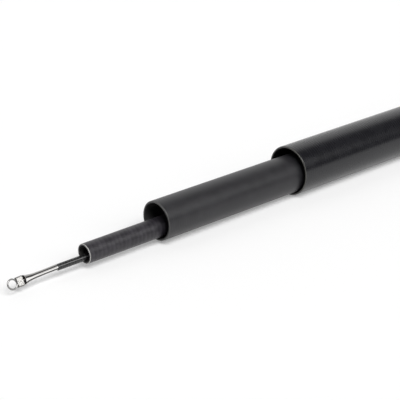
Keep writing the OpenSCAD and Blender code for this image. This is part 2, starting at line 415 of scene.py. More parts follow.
def skin(name: str, grid: np.ndarray, closed: bool, poles: Poles = (None, None),
         masks: Optional[Masks] = None) -> bpy.types.Object:
    """Makes a mesh from a grid of points that closes round its columns.

    The face of row i and column j joins (i, j), (i, j + 1), (i + 1, j + 1) and (i + 1, j), which
    faces outwards where the rows run along an axis and the columns turn about it. A pole closes an
    end row with a fan. The UV map holds the turn round the axis, from 0 to 1, and the distance
    along the rows in metres.

    Args:
        name: the piece's name.
        grid: points by row and column.
        closed: whether the last row joins the first.
        poles: the points that close the first and the last row of an open grid.
        masks: values by row and column that go into the mesh as attributes.

    Returns:
        The new object, linked to the scene.
    """
    rows, columns = grid.shape[:2]
    row = np.arange(rows if closed else rows - 1)[:, None]
    column = np.arange(columns)[None, :]
    next_row, next_column = (row + 1) % rows, (column + 1) % columns
    quads = np.stack([row * columns + column, row * columns + next_column,
                      next_row * columns + next_column, next_row * columns + column], -1)
    steps = np.linalg.norm(np.roll(grid[:, 0], -1, 0) - grid[:, 0], axis=1)
    distance = np.concatenate([[0.0], np.cumsum(steps)])
    left, right, low, high = np.broadcast_arrays(
        column / columns, (column + 1) / columns, distance[row], distance[row + 1])
    around = np.stack([left, right, right, left], -1)
    uv = [np.stack([around, np.stack([low, low, high, high], -1)], -1)]
    points, faces = [grid.reshape(-1, 3)], quads.reshape(-1, 4).tolist()
    centre = (np.arange(columns) + 0.5) / columns
    for pole, end, way in zip(poles, (0, rows - 1), (-1, 1)):
        if pole is None:
            continue
        top = sum(len(part) for part in points)
        here = (end * columns + column[0], left[0])
        there = (end * columns + next_column[0], right[0])
        first, second = (here, there)[::way]
        faces += np.stack([np.full(columns, top), first[0], second[0]], -1).tolist()
        rim = np.full(columns, distance[end])
        tip = rim + way * np.linalg.norm(grid[end, 0] - pole)
        around = np.stack([centre, first[1], second[1]], -1)
        uv.append(np.stack([around, np.stack([tip, rim, rim], -1)], -1))
        points.append(np.asarray(pole, float).reshape(1, 3))
    mesh = bpy.data.meshes.new(name)
    mesh.from_pydata(np.concatenate(points).tolist(), [], faces)
    flat_uv = np.concatenate([part.reshape(-1, 2) for part in uv]).astype(np.float32)
    mesh.uv_layers.new(name=UV_NAME).data.foreach_set("uv", flat_uv.ravel())
    for mask, values in (masks or {}).items():
        flat = np.broadcast_to(values, (rows, columns)).ravel()
        ends = [value for pole, value in zip(poles, (flat[0], flat[-1])) if pole is not None]
        attribute = mesh.attributes.new(mask.value, "FLOAT", "POINT")
        attribute.data.foreach_set("value", np.concatenate([flat, ends]).astype(np.float32))
    mesh.polygons.foreach_set("use_smooth", np.ones(len(faces), bool))
    mesh.update()
    piece = bpy.data.objects.new(name, mesh)
    bpy.context.scene.collection.objects.link(piece)
    return piece


def turned(name: str, axis: Axis, outline: np.ndarray, closed: bool, columns: int, spacing: float,
           rules: Optional[Dict[Mask, MaskRule]] = None) -> bpy.types.Object:
    """Turns a rounded outline about an axis: each point (along, radius) becomes a full circle.

    Args:
        name: the piece's name.
        axis: the axis to turn about.
        outline: its corners with their roundings, the outer side running forward.
        closed: whether the outline closes on itself. An open one starts and ends on the axis.
        columns: parts of a full turn.
        spacing: longest part of a straight side.
        rules: for each mask, its value from the distances along the axis and the radii.

    Returns:
        The new object.
    """
    profile = Profile.of(outline, closed, spacing)
    masks = {mask: rule(profile.at, profile.out) for mask, rule in (rules or {}).items()}
    grid = axis.place(profile.at, profile.out, angles(columns))
    return skin(name, grid, closed, profile.poles(axis), masks)


# Shader nodes

# Where a Mix node has its sockets for colours
MIX_SHARE, MIX_FIRST, MIX_SECOND, MIX_RESULT = 0, 6, 7, 2


class NodeSheet:
    """A node tree with short ways to add nodes and to join them."""

    def __init__(self, tree: bpy.types.NodeTree) -> None:
        """Starts with a tree's own nodes removed."""
        self.tree = tree
        self.tree.nodes.clear()

    def feed(self, socket: bpy.types.NodeSocket, value: Any) -> None:
        """Joins a socket to another one, or sets its value.

        Args:
            socket: the input to fill.
            value: an output socket, a number, or a colour of three numbers.
        """
        if isinstance(value, bpy.types.NodeSocket):
            self.tree.links.new(value, socket)
        elif socket.type == "RGBA":
            socket.default_value = (*value, 1.0)
        else:
            socket.default_value = value

    def add(self, kind: str, settings: Optional[Dict[str, Any]] = None,
            **inputs: Any) -> bpy.types.Node:
        """Adds a node.

        Args:
            kind: the node's type.
            settings: the node's own properties.
            inputs: values for its sockets, with underscores for the spaces in their names.

        Returns:
            The new node.
        """
        node = self.tree.nodes.new(kind)
        for key, value in (settings or {}).items():
            setattr(node, key, value)
        for key, value in inputs.items():
            self.feed(node.inputs[key.replace("_", " ")], value)
        return node

    def math(self, operation: str, first: Any, second: Any = 0.0) -> bpy.types.NodeSocket:
        """Adds a Math node.

        Args:
            operation: the operation's name.
            first: its first value.
            second: its second value.

        Returns:
            The result.
        """
        node = self.add("ShaderNodeMath", {"operation": operation})
        self.feed(node.inputs[0], first)
        self.feed(node.inputs[1], second)
        return node.outputs[0]

    def plus(self, base: Any, value: Any, share: float) -> bpy.types.NodeSocket:
        """Adds a share of a value to a base."""
        return self.math("ADD", base, self.math("MULTIPLY", value, share))

    def ramp(self, value: Any, low: float, high: float,
             start: float = 0.0, end: float = 1.0) -> bpy.types.NodeSocket:
        """Maps a value smoothly from one range to another.

        Args:
            value: the value.
            low: where the range starts.
            high: where it ends.
            start: the result at low.
            end: the result at high.

        Returns:
            The result, which stays between start and end.
        """
        node = self.add("ShaderNodeMapRange", {"interpolation_type": "SMOOTHSTEP"}, Value=value,
                        From_Min=low, From_Max=high, To_Min=start, To_Max=end)
        return node.outputs[0]

    def mix(self, share: Any, first: Any, second: Any) -> bpy.types.NodeSocket:
        """Mixes two colours.

        Args:
            share: how much of the second colour there is.
            first: the first colour.
            second: the second colour.

        Returns:
            The mixed colour.
        """
        node = self.add("ShaderNodeMix", {"data_type": "RGBA"})
        for socket, value in ((MIX_SHARE, share), (MIX_FIRST, first), (MIX_SECOND, second)):
            self.feed(node.inputs[socket], value)
        return node.outputs[MIX_RESULT]

    def noise(self, scale: Any, detail: float, roughness: float = 0.5) -> bpy.types.NodeSocket:
        """Adds noise in the space of the object.

        Args:
            scale: its scale.
            detail: how many finer layers it has.
            roughness: how strong the finer layers are.

        Returns:
            The noise, from 0 to 1.
        """
        place = self.add("ShaderNodeTexCoord").outputs["Object"]
        node = self.add("ShaderNodeTexNoise", Vector=place, Scale=scale, Detail=detail,
                        Roughness=roughness)
        return node.outputs[0]

    def bump(self, height: Any, depth: float,
             under: Optional[bpy.types.NodeSocket] = None) -> bpy.types.NodeSocket:
        """Adds a bump.

        Args:
            height: heights from 0 to 1.
            depth: what a height of 1 measures, in metres.
            under: the normal of a coarser bump that this one lies on.

        Returns:
            The new normal.
        """
        node = self.add("ShaderNodeBump", Strength=1.0, Distance=depth, Height=height)
        if under is not None:
            self.feed(node.inputs["Normal"], under)
        return node.outputs[0]

    def mask(self, mask: Mask) -> bpy.types.NodeSocket:
        """Reads a mask that the mesh carries, or 0 where it carries none."""
        return self.add("ShaderNodeAttribute", {"attribute_name": mask.value}).outputs["Fac"]

    def turned_uv(self) -> Tuple[bpy.types.NodeSocket, bpy.types.NodeSocket]:
        """Reads the UV map of a turned surface.

        Returns:
            The turn round the axis, from 0 to 1, and the distance along the surface in metres.
        """
        uv = self.add("ShaderNodeUVMap", {"uv_map": UV_NAME})
        parts = self.add("ShaderNodeSeparateXYZ", Vector=uv.outputs[0])
        return parts.outputs[0], parts.outputs[1]

    def place(self, group: bpy.types.NodeTree, **inputs: Any) -> Any:
        """Places a shared effect with its own values, and gives its outputs."""
        return self.add("ShaderNodeGroup", {"node_tree": group}, **inputs).outputs


def new_group(name: str, inputs: Sequence[str],
              outputs: Sequence[str]) -> Tuple[NodeSheet, Any, Any]:
    """Starts a shared effect whose sockets are all plain values.

    Args:
        name: the group's name.
        inputs: names of its inputs.
        outputs: names of its outputs.

    Returns:
        The group's sheet, the sockets that bring its inputs and the sockets that take its outputs.
    """
    tree = bpy.data.node_groups.new(name, "ShaderNodeTree")
    sheet = NodeSheet(tree)
    for labels, way in ((inputs, "INPUT"), (outputs, "OUTPUT")):
        for label in labels:
            tree.interface.new_socket(name=label, in_out=way, socket_type="NodeSocketFloat")
    return sheet, sheet.add("NodeGroupInput").outputs, sheet.add("NodeGroupOutput").inputs


class Effects:
    """Effects that several finishes share, each built once as a node group."""

    CLOUD_DETAIL: ClassVar[float] = 3.0
    FINE_RATIO: ClassVar[float] = 9.0
    FINE_DETAIL: ClassVar[float] = 4.0
    FINE_ROUGHNESS: ClassVar[float] = 0.65
    WANDER_SCALE: ClassVar[float] = 90.0
    WANDER_DETAIL: ClassVar[float] = 2.0
    RIDGE_RISE: ClassVar[Span] = (0.0, 0.8)
    RIDGE_FALL: ClassVar[Span] = (0.78, 1.0)
    SEAM_RISE: ClassVar[Span] = (0.7, 0.84)
    BROKEN: ClassVar[Span] = (0.35, 0.65)
    BROKEN_DETAIL: ClassVar[float] = 5.0
    DEPTH_SCALE: ClassVar[float] = 2600.0
    DEPTH_DETAIL: ClassVar[float] = 2.0

    def __init__(self) -> None:
        """Builds the groups."""
        self.grain = self._grain()
        self.winding = self._winding()
        self.wear = self._wear()
        self.lathe = self._lathe()

    def _grain(self) -> bpy.types.NodeTree:
        """Builds cloudy and fine noise in the space of the object.

        Returns:
            The group.
        """
        sheet, given, result = new_group("surface_grain", ["Scale"], ["Cloud", "Grain"])
        scale = sheet.math("MULTIPLY", given["Scale"], self.FINE_RATIO)
        fine = (scale, self.FINE_DETAIL, self.FINE_ROUGHNESS)
        sheet.feed(result["Cloud"], sheet.noise(given["Scale"], self.CLOUD_DETAIL))
        sheet.feed(result["Grain"], sheet.noise(*fine))
        return sheet.tree

    def _winding(self) -> bpy.types.NodeTree:
        """Builds the ridges that a wound tape leaves.

        They are a saw of the distance along the tube in pitches plus the turn, which wanders a
        little with noise. The seam is the saw's steep side.

        Returns:
            The group.
        """
        sheet, given, result = new_group("tape_winding", ["Pitch", "Jitter"], ["Ridge", "Seam"])
        turn, distance = sheet.turned_uv()
        noise = sheet.noise(self.WANDER_SCALE, self.WANDER_DETAIL)
        noise = sheet.math("SUBTRACT", noise, 0.5)
        wander = sheet.math("MULTIPLY", noise, given["Jitter"])
        phase = sheet.math("ADD", sheet.math("DIVIDE", distance, given["Pitch"]), turn)
        saw = sheet.math("FRACT", sheet.math("ADD", phase, wander))
        fall = sheet.ramp(saw, *self.RIDGE_FALL, 1.0, 0.0)
        sheet.feed(result["Ridge"], sheet.math("MULTIPLY", sheet.ramp(saw, *self.RIDGE_RISE), fall))
        sheet.feed(result["Seam"], sheet.math("MULTIPLY", sheet.ramp(saw, *self.SEAM_RISE), fall))
        return sheet.tree

    def _wear(self) -> bpy.types.NodeTree:
        """Builds broken wear: a mask eaten away by noise.

        Returns:
            The group.
        """
        # Used for worn edges, and also for the painted highlight on the tip rod's ridge and the
        # painted shade on the swivel barrel's edges
        sheet, given, result = new_group("edge_wear", ["Edge", "Amount", "Scale"], ["Mask"])
        amount = sheet.math("SUBTRACT", given["Amount"], 0.5)
        level = sheet.math("ADD", sheet.noise(given["Scale"], self.BROKEN_DETAIL), amount)
        broken = sheet.ramp(level, *self.BROKEN)
        sheet.feed(result["Mask"], sheet.math("MULTIPLY", broken, given["Edge"]))
        return sheet.tree

    def _lathe(self) -> bpy.types.NodeTree:
        """Builds fine turning lines: a wave of the distance along the surface, of uneven depth.

        Returns:
            The group.
        """
        sheet, given, result = new_group("turning_lines", ["Pitch"], ["Line"])
        _, distance = sheet.turned_uv()
        along = sheet.add("ShaderNodeCombineXYZ", X=distance).outputs[0]
        depth = sheet.add("ShaderNodeTexNoise", Vector=along, Scale=self.DEPTH_SCALE,
                          Detail=self.DEPTH_DETAIL)
        turns = sheet.math("MULTIPLY", sheet.math("DIVIDE", distance, given["Pitch"]), TURN)
        wave = sheet.plus(0.5, sheet.math("SINE", turns), 0.5)
        sheet.feed(result["Line"], sheet.math("MULTIPLY", wave, depth.outputs[0]))
        return sheet.tree


def new_material(name: str) -> Tuple[bpy.types.Material, NodeSheet, Any]:
    """Starts a material with a Principled shader.

    Args:
        name: the material's name.

    Returns:
        The material, its sheet and the inputs of its shader.
    """
    material = bpy.data.materials.new(name)
    material.use_nodes = True
    sheet = NodeSheet(material.node_tree)
    shader = sheet.add("ShaderNodeBsdfPrincipled")
    sheet.add("ShaderNodeOutputMaterial", Surface=shader.outputs[0])
    return material, sheet, shader.inputs


# Finishes

# The values that a noise mostly keeps to
NOISE_SPAN = (0.3, 0.7)


def shade(colour: Colour, share: float) -> Colour:
    """A darker shade of a colour."""
    return tuple(share * part for part in colour)


class Finish(Protocol):
    """A finish that can be made into a material."""

    def material(self, effects: Effects) -> bpy.types.Material:
        """Builds the material."""
        ...


@dataclass(frozen=True, kw_only=True)
class CarbonFinish:
    """Wound carbon cloth under a coat of clear lacquer, cut bare at the rim and dark in the bore.

    The tape's bands and ridges fade with the distance from the mouth to a far share of their
    strength. On the tip rod the rim mask lays the rim colour along its ridge as a painted
    highlight.
    """

    name: str
    dark: Colour
    light: Colour
    rim: Colour
    bore: Colour
    roughness: float
    pitch: float
    ridge_depth: float
    band: float
    band_fade: float = 3000 * MM
    grain_scale: float
    grain_depth: float
    far_share: float = 0.1
    jitter: float = 0.5
    band_level: float = 0.4
    cloud_share: float = 0.6
    grain_share: float = 0.5
    bare_amount: float = 0.85
    bare_scale: float = 2500.0
    cloud_roughness: float = 0.02
    seam_roughness: float = 0.03
    bore_roughness: float = 0.3

    def material(self, effects: Effects) -> bpy.types.Material:
        """Builds the material.

        Args:
            effects: the shared effects.

        Returns:
            The material.
        """
        material, sheet, shader = new_material(self.name)
        grain = sheet.place(effects.grain, Scale=self.grain_scale)
        winding = sheet.place(effects.winding, Pitch=self.pitch, Jitter=self.jitter)
        near_mouth = sheet.ramp(sheet.turned_uv()[1], 0.0, self.band_fade, 1.0, self.far_share)
        rim, bore = sheet.mask(Mask.RIM_AND_PAINTED_HIGHLIGHT), sheet.mask(Mask.BORE_AND_PAINTED_SHADE)
        band = sheet.math("SUBTRACT", winding["Ridge"], self.band_level)
        band = sheet.math("MULTIPLY", sheet.math("MULTIPLY", band, self.band), near_mouth)
        tone = sheet.plus(band, sheet.ramp(grain["Cloud"], *NOISE_SPAN), self.cloud_share)
        tone = sheet.plus(tone, sheet.math("SUBTRACT", grain["Grain"], 0.5), self.grain_share)
        tone = sheet.math("MAXIMUM", sheet.math("MINIMUM", tone, 1.0), 0.0)
        colour = sheet.mix(tone, self.dark, self.light)
        # On the tube mouths this marks the bare rim; on the tip rod it is a painted highlight along
        # the ridge
        bare = sheet.place(effects.wear, Edge=rim, Amount=self.bare_amount, Scale=self.bare_scale)
        colour = sheet.mix(bare["Mask"], colour, self.rim)
        sheet.feed(shader["Base Color"], sheet.mix(bore, colour, self.bore))
        rough = sheet.ramp(grain["Cloud"], *NOISE_SPAN, self.roughness - self.cloud_roughness,
                           self.roughness + self.cloud_roughness)
        rough = sheet.plus(rough, winding["Seam"], self.seam_roughness)
        sheet.feed(shader["Roughness"], sheet.plus(rough, bore, self.bore_roughness))
        ridges = sheet.bump(sheet.math("MULTIPLY", winding["Ridge"], near_mouth), self.ridge_depth)
        sheet.feed(shader["Normal"], sheet.bump(grain["Grain"], self.grain_depth, ridges))
        return material


@dataclass(frozen=True, kw_only=True)
class MetalFinish:
    """Turned metal, plated or anodised, with turning lines, handling marks, flecks and worn edges.

    Where a mesh has a bore mask, the colour there is darkened as painted shade, and where it has a
    rim mask, it is made pale as a painted highlight. An edge mask pales worn edges on most metals,
    but darkens the swivel barrel's edges as painted shade.
    pressed and pale.
    """

    name: str
    colour: Colour
    rubbed: Colour
    roughness: float
    metallic: float = 1.0
    line_pitch: float
    line_depth: float
    grain_scale: float
    grain_depth: float
    wear: float = 0.5
    wear_scale: float = 1800.0
    fleck: float = 0.1
    fleck_span: Span = (0.54, 0.44)
    fleck_shade: float = 0.1
    cloud_span: Span = (0.3, 0.75)
    cloud_shade: float = 0.82
    painted_shade: float = 0.05
    clear_roughness: float = -0.03
    cloud_roughness: float = 0.09
    line_roughness: float = 0.05
    pressed_roughness: float = 0.14

    def material(self, effects: Effects) -> bpy.types.Material:
        """Builds the material.

        Args:
            effects: the shared effects.

        Returns:
            The material.
        """
        material, sheet, shader = new_material(self.name)
        grain = sheet.place(effects.grain, Scale=self.grain_scale)
        line = sheet.place(effects.lathe, Pitch=self.line_pitch)["Line"]
        # Worn edges on most metals; on the swivel barrel, whose rubbed colour is dark, painted
        # shade
        edge = sheet.place(effects.wear, Edge=sheet.mask(Mask.EDGE), Amount=self.wear,
                           Scale=self.wear_scale)
        # The sleeve's flat strip, painted pale as a painted highlight
        painted_highlight = sheet.mask(Mask.RIM_AND_PAINTED_HIGHLIGHT)
        cloud = sheet.ramp(grain["Cloud"], *self.cloud_span)
        colour = sheet.mix(cloud, self.colour, shade(self.colour, self.cloud_shade))
        pits = sheet.ramp(grain["Grain"], *self.fleck_span, 0.0, self.fleck)
        colour = sheet.mix(pits, colour, shade(self.colour, self.fleck_shade))
        colour = sheet.mix(sheet.math("MAXIMUM", edge["Mask"], painted_highlight), colour, self.rubbed)
        # Painted shade in the sleeve's bell and seam, and its painted dark reflection
        colour = sheet.mix(sheet.mask(Mask.BORE_AND_PAINTED_SHADE), colour, shade(self.colour, self.painted_shade))
        sheet.feed(shader["Base Color"], colour)
        sheet.feed(shader["Metallic"], self.metallic)
        rough = sheet.plus(self.roughness + self.clear_roughness, cloud, self.cloud_roughness)
        rough = sheet.plus(rough, line, self.line_roughness)
        sheet.feed(shader["Roughness"], sheet.plus(rough, painted_highlight, self.pressed_roughness))
        turning = sheet.bump(line, self.line_depth)
        sheet.feed(shader["Normal"], sheet.bump(grain["Grain"], self.grain_depth, turning))
        return material


@dataclass(frozen=True, kw_only=True)
class RubberFinish:
    """Moulded rubber with a fine grain, paler where its raised parts have been rubbed."""

    name: str
    colour: Colour
    rubbed: Colour
    roughness: float
    grain_scale: float
    grain_depth: float
    wear: float
    wear_scale: float = 140.0
    grain_shade: float = 0.75
    cloud_roughness: float = 0.06
    worn_roughness: float = -0.1

    def material(self, effects: Effects) -> bpy.types.Material:
        """Builds the material.

        Args:
            effects: the shared effects.

        Returns:
            The material.
        """
        material, sheet, shader = new_material(self.name)
        grain = sheet.place(effects.grain, Scale=self.grain_scale)
        worn = sheet.place(effects.wear, Edge=sheet.mask(Mask.CREST), Amount=self.wear,
                           Scale=self.wear_scale)["Mask"]
        tone = sheet.ramp(grain["Grain"], *NOISE_SPAN)
        colour = sheet.mix(tone, shade(self.colour, self.grain_shade), self.colour)
        sheet.feed(shader["Base Color"], sheet.mix(worn, colour, self.rubbed))
        rough = sheet.ramp(grain["Cloud"], *NOISE_SPAN, self.roughness - self.cloud_roughness,
                           self.roughness + self.cloud_roughness)
        sheet.feed(shader["Roughness"], sheet.plus(rough, worn, self.worn_roughness))
        sheet.feed(shader["Normal"], sheet.bump(grain["Grain"], self.grain_depth))
        return material


BUTT_LACQUER = CarbonFinish(
    name="butt_lacquer", dark=(0.003, 0.003, 0.005), light=(0.005, 0.005, 0.0075),
    rim=(0.085, 0.083, 0.076), bore=(0.026, 0.026, 0.025), roughness=0.26, pitch=1.1 * MM,
    ridge_depth=0.0022 * MM, band=0.3, band_fade=18 * MM, grain_scale=220.0, grain_depth=0.002 * MM)
MIDDLE_SATIN = CarbonFinish(
    name="middle_satin", dark=(0.0112, 0.0108, 0.0128), light=(0.0203, 0.0195, 0.0228),
    rim=(0.080, 0.080, 0.078), bore=(0.045, 0.045, 0.045), roughness=0.42, pitch=0.75 * MM,
    ridge_depth=0.014 * MM, band=0.5, band_fade=30 * MM, grain_scale=260.0, grain_depth=0.004 * MM)
UPPER_SATIN = CarbonFinish(
    name="upper_satin", dark=(0.011, 0.0095, 0.013), light=(0.037, 0.0335, 0.041),
    rim=(0.56, 0.555, 0.53), bore=(0.044, 0.043, 0.040), roughness=0.42, pitch=1.6 * MM,
    ridge_depth=0.018 * MM, band=0.44, grain_scale=420.0, grain_depth=0.006 * MM)
# Its rim colour is laid along the tip rod's ridge, a painted highlight
TIP_GLOSS = CarbonFinish(
    name="tip_gloss", dark=(0.006, 0.006, 0.006), light=(0.030, 0.030, 0.031),
    rim=(0.16, 0.16, 0.16), bore=(0.01, 0.01, 0.01), roughness=0.22, pitch=1.1 * MM,
    ridge_depth=0.020 * MM, band=0.9, grain_scale=700.0, grain_depth=0.003 * MM)
# Its near-white rubbed colour paints the sleeve's flat strip as a painted highlight and pales the
# worn bell rim
FITTING_PLATE = MetalFinish(
    name="fitting_plate", colour=(0.47, 0.46, 0.45), rubbed=(0.98, 0.97, 0.95), roughness=0.12,
    line_pitch=0.12 * MM, line_depth=0.0001 * MM, grain_scale=900.0, grain_depth=0.0006 * MM)
RING_PLATE = MetalFinish(
    name="ring_plate", colour=(0.32, 0.315, 0.31), rubbed=(0.42, 0.41, 0.40), roughness=0.24,
    line_pitch=0.10 * MM, line_depth=0.0004 * MM, grain_scale=900.0, grain_depth=0.002 * MM)
# Its dark rubbed colour darkens the barrel's ends and sides: painted shade
SWIVEL_NICKEL = MetalFinish(
    name="swivel_nickel", colour=(0.60, 0.59, 0.57), rubbed=(0.14, 0.135, 0.13), roughness=0.34,
    line_pitch=0.15 * MM, line_depth=0.0004 * MM, grain_scale=260.0, grain_depth=0.02 * MM,
    wear=0.8, fleck=0.6)
# Its very dark colour also stands in for the shade inside the bell's mouth: partly painted shade
BUSH_BRONZE = MetalFinish(
    name="bush_bronze", colour=(0.10, 0.085, 0.065), rubbed=(0.22, 0.18, 0.12), roughness=0.40,
    line_pitch=0.08 * MM, line_depth=0.001 * MM, grain_scale=1200.0, grain_depth=0.002 * MM)
PIN_STEEL = MetalFinish(
    name="pin_steel", colour=(0.82, 0.81, 0.79), rubbed=(0.90, 0.89, 0.87), roughness=0.36,
    line_pitch=0.06 * MM, line_depth=0.001 * MM, grain_scale=1200.0, grain_depth=0.001 * MM)
TRIM_ANODISED = MetalFinish(
    name="trim_anodised", colour=(0.075, 0.076, 0.080), rubbed=(0.30, 0.30, 0.31), roughness=0.34,
    metallic=0.9, line_pitch=0.22 * MM, line_depth=0.004 * MM, grain_scale=160.0,
    grain_depth=0.001 * MM, wear=0.55)
CAP_ANODISED = MetalFinish(
    name="cap_anodised", colour=(0.040, 0.041, 0.044), rubbed=(0.26, 0.26, 0.27), roughness=0.36,
    metallic=0.9, line_pitch=0.20 * MM, line_depth=0.004 * MM, grain_scale=160.0,
    grain_depth=0.001 * MM, wear=0.55)
GRIP_RUBBER = RubberFinish(
    name="grip_rubber", colour=(0.016, 0.016, 0.017), rubbed=(0.034, 0.034, 0.035), roughness=0.66,
    grain_scale=300.0, grain_depth=0.02 * MM, wear=0.55)
SEAL_RUBBER = RubberFinish(
    name="seal_rubber", colour=(0.010, 0.010, 0.010), rubbed=(0.028, 0.028, 0.028), roughness=0.5,
    grain_scale=700.0, grain_depth=0.004 * MM, wear=0.4)
PAD_RUBBER = RubberFinish(
    name="pad_rubber", colour=(0.030, 0.030, 0.031), rubbed=(0.060, 0.060, 0.060), roughness=0.75,
    grain_scale=500.0, grain_depth=0.03 * MM, wear=0.5)


class Wardrobe:
    """Hands out each finish's material and puts pieces on their bodies."""

    def __init__(self) -> None:
        """Builds the shared effects."""
        self.effects = Effects()
        self.made: Dict[Finish, bpy.types.Material] = {}

    def dress(self, piece: bpy.types.Object, node: str, finish: Finish) -> None:
        """Gives a piece its finish and lets it stand for a CAD node on that node's body.

        Args:
            piece: the new piece.
            node: the CAD node that it stands for.
            finish: the finish.
        """
        if finish not in self.made:
            self.made[finish] = finish.material(self.effects)
        piece.data.materials.append(self.made[finish])
        body = frame["nodes"][node]["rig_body"]
        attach(piece, body)
        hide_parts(node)
        LOG.info("%s on %s: %d faces", piece.name, body, len(piece.data.polygons))


# Sub-assemblies


@dataclass
class TubeSection:
    """A tapered hollow section with a rounded mouth."""

    node: str
    slot: Slot
    finish: CarbonFinish
    outer_lip: float = 0.45 * MM
    lip_share: float = 0.44
    inner_lip: float = 0.06 * MM
    rear_edge: float = 0.1 * MM
    rim_share: float = 0.58
    rim_fade: float = 0.55
    lip_fade: float = 0.3
    bore_fade: Span = (-0.05, 0.3)
    columns: int = 192
    spacing: float = 20 * MM

    def build(self, wardrobe: Wardrobe) -> None:
        """Builds and dresses the tube: a wall outline turned about the tube's own axis.

        Args:
            wardrobe: where finishes come from.
        """
        axis = Axis.of_node(self.node)
        size = Reach.of_node(self.node, axis)
        wall = size.rear_outer - size.rear_inner
        mouth, rear, end = size.front_outer, size.rear_outer, size.length
        lip = min(self.outer_lip, self.lip_share * wall)
        outline = corners([(0.0, mouth - wall), (0.0, mouth), (end, rear), (end, rear - wall)],
                          (self.inner_lip, lip, self.rear_edge, self.rear_edge))
        fade, band = [share * wall for share in self.bore_fade], self.rim_share * wall

        def bore(along: np.ndarray, radius: np.ndarray) -> np.ndarray:
            """One inside the middle of the wall."""
            inside = mouth - wall / 2 + (rear - mouth) * along / end - radius
            return smooth(inside, *fade) * smooth(along, 0.0, self.inner_lip)

        def rim(along: np.ndarray, radius: np.ndarray) -> np.ndarray:
            """One on the rounded outer edge of the mouth."""
            edge = 1.0 - smooth(along, self.lip_fade * lip, lip)
            return edge * smooth(radius, mouth - band, mouth - self.rim_fade * band)

        piece = turned(f"{self.node}_skin", axis, outline, True, self.columns, self.spacing,
                       {Mask.BORE_AND_PAINTED_SHADE: bore, Mask.RIM_AND_PAINTED_HIGHLIGHT: rim})
        wardrobe.dress(piece, self.node, self.finish)


def tip_axis() -> Axis:
    """The axis of the tip fitting, with its zero at the swivel joint, pointing to the line ring."""
    swivel = joint("line_ring_swivel")
    return Axis.on(swivel["pos_m"], swivel["axis"])


@dataclass
class SolidTip:
    """The solid tip rod, with a thin spigot that goes into the hanging tip sleeve."""

    node: str = "tip_blank"
    spigot_radius: float = 0.55 * MM
    spigot_limit: float = 1.2
    edges: Sizes = mm(0.0, 0.05, 0.03, 0.08, 0.4, 0.0)
    lift_end: float = 1 * MM
    ridge_turn: float = math.radians(144.0)
    ridge_height: float = 0.03 * MM
    ridge_width: float = 0.3 * MM
    ridge_from: float = 0.8
    columns: int = 160
    spacing: float = 20 * MM

    def axis(self) -> Axis:
        """Finds the rod's own axis, from the middles of its shoulder and of its butt end.

        Returns:
            The axis, with its zero in the shoulder's middle.
        """
        points = node_points(self.node)
        thick = np.abs(points[:, 1]) > self.spigot_limit * self.spigot_radius
        return Axis.of_node(self.node, points[thick, 0].min())

    def build(self, wardrobe: Wardrobe) -> None:
        """Builds and dresses the rod.

        Spigot, shoulder and taper are an outline turned about the rod's own axis. In front of the
        shoulder the circles are moved onto the fitting's line, which starts a lift above the rod's
        and falls with the distance times a slope, and across the shoulder's face the lift grows as
        the radius shrinks to the spigot's. A fine ridge of lacquer runs along the side: a bell
        curve of the arc from its line is added to the radius, and the ridge is painted pale as a
        painted highlight.

        Args:
            wardrobe: where finishes come from.
        """
        axis, fitting = self.axis(), tip_axis()
        along, radius = axis.measure(self.node)
        front, rear, spigot = along.min(), along.max(), self.spigot_radius
        mouth, thick = radius[np.abs(along) < NEAR_END].max(), radius[along > rear / 2].max()
        outline = corners([(front, 0.0), (front, spigot), (0.0, spigot), (0.0, mouth),
                           (rear, thick), (rear, 0.0)], self.edges)
        slope = (fitting.along @ axis.up) / (fitting.along @ axis.along)
        start = fitting.origin - axis.origin
        lift = start @ axis.up - slope * (start @ axis.along)

        def moved(at: np.ndarray, out: np.ndarray) -> np.ndarray:
            """How far a circle is moved onto the fitting's line."""
            share = np.clip((mouth - out) / (mouth - spigot), 0.0, 1.0) * (at < self.lift_end)
            return slope * np.minimum(at, 0.0) + lift * share

        profile = Profile.of(outline, False, self.spacing)
        at, out = profile.at, profile.out
        poles = tuple(axis.at(end) + moved(end, 0.0) * axis.up for end in profile.ends)
        turn = angles(self.columns)
        arc = out * np.abs(off_line(turn - self.ridge_turn, TURN))
        ridge = np.exp(-((arc / (self.ridge_width / 2)) ** 2))
        ridge = ridge * smooth(out, self.ridge_from * mouth, mouth)
        grid = axis.place(at, out + self.ridge_height * ridge, turn)
        grid = grid + moved(at, out)[..., None] * axis.up
        # The ridge mask paints the ridge pale: a painted highlight along the rod
        piece = skin("tip_rod", grid, False, poles, {Mask.RIM_AND_PAINTED_HIGHLIGHT: ridge})
        wardrobe.dress(piece, self.node, TIP_GLOSS)


def fitting_axis() -> Axis:
    """The axis of the tip fitting with its zero at the sleeve's rear end."""
    return tip_axis().from_front_of("tip_sleeve")


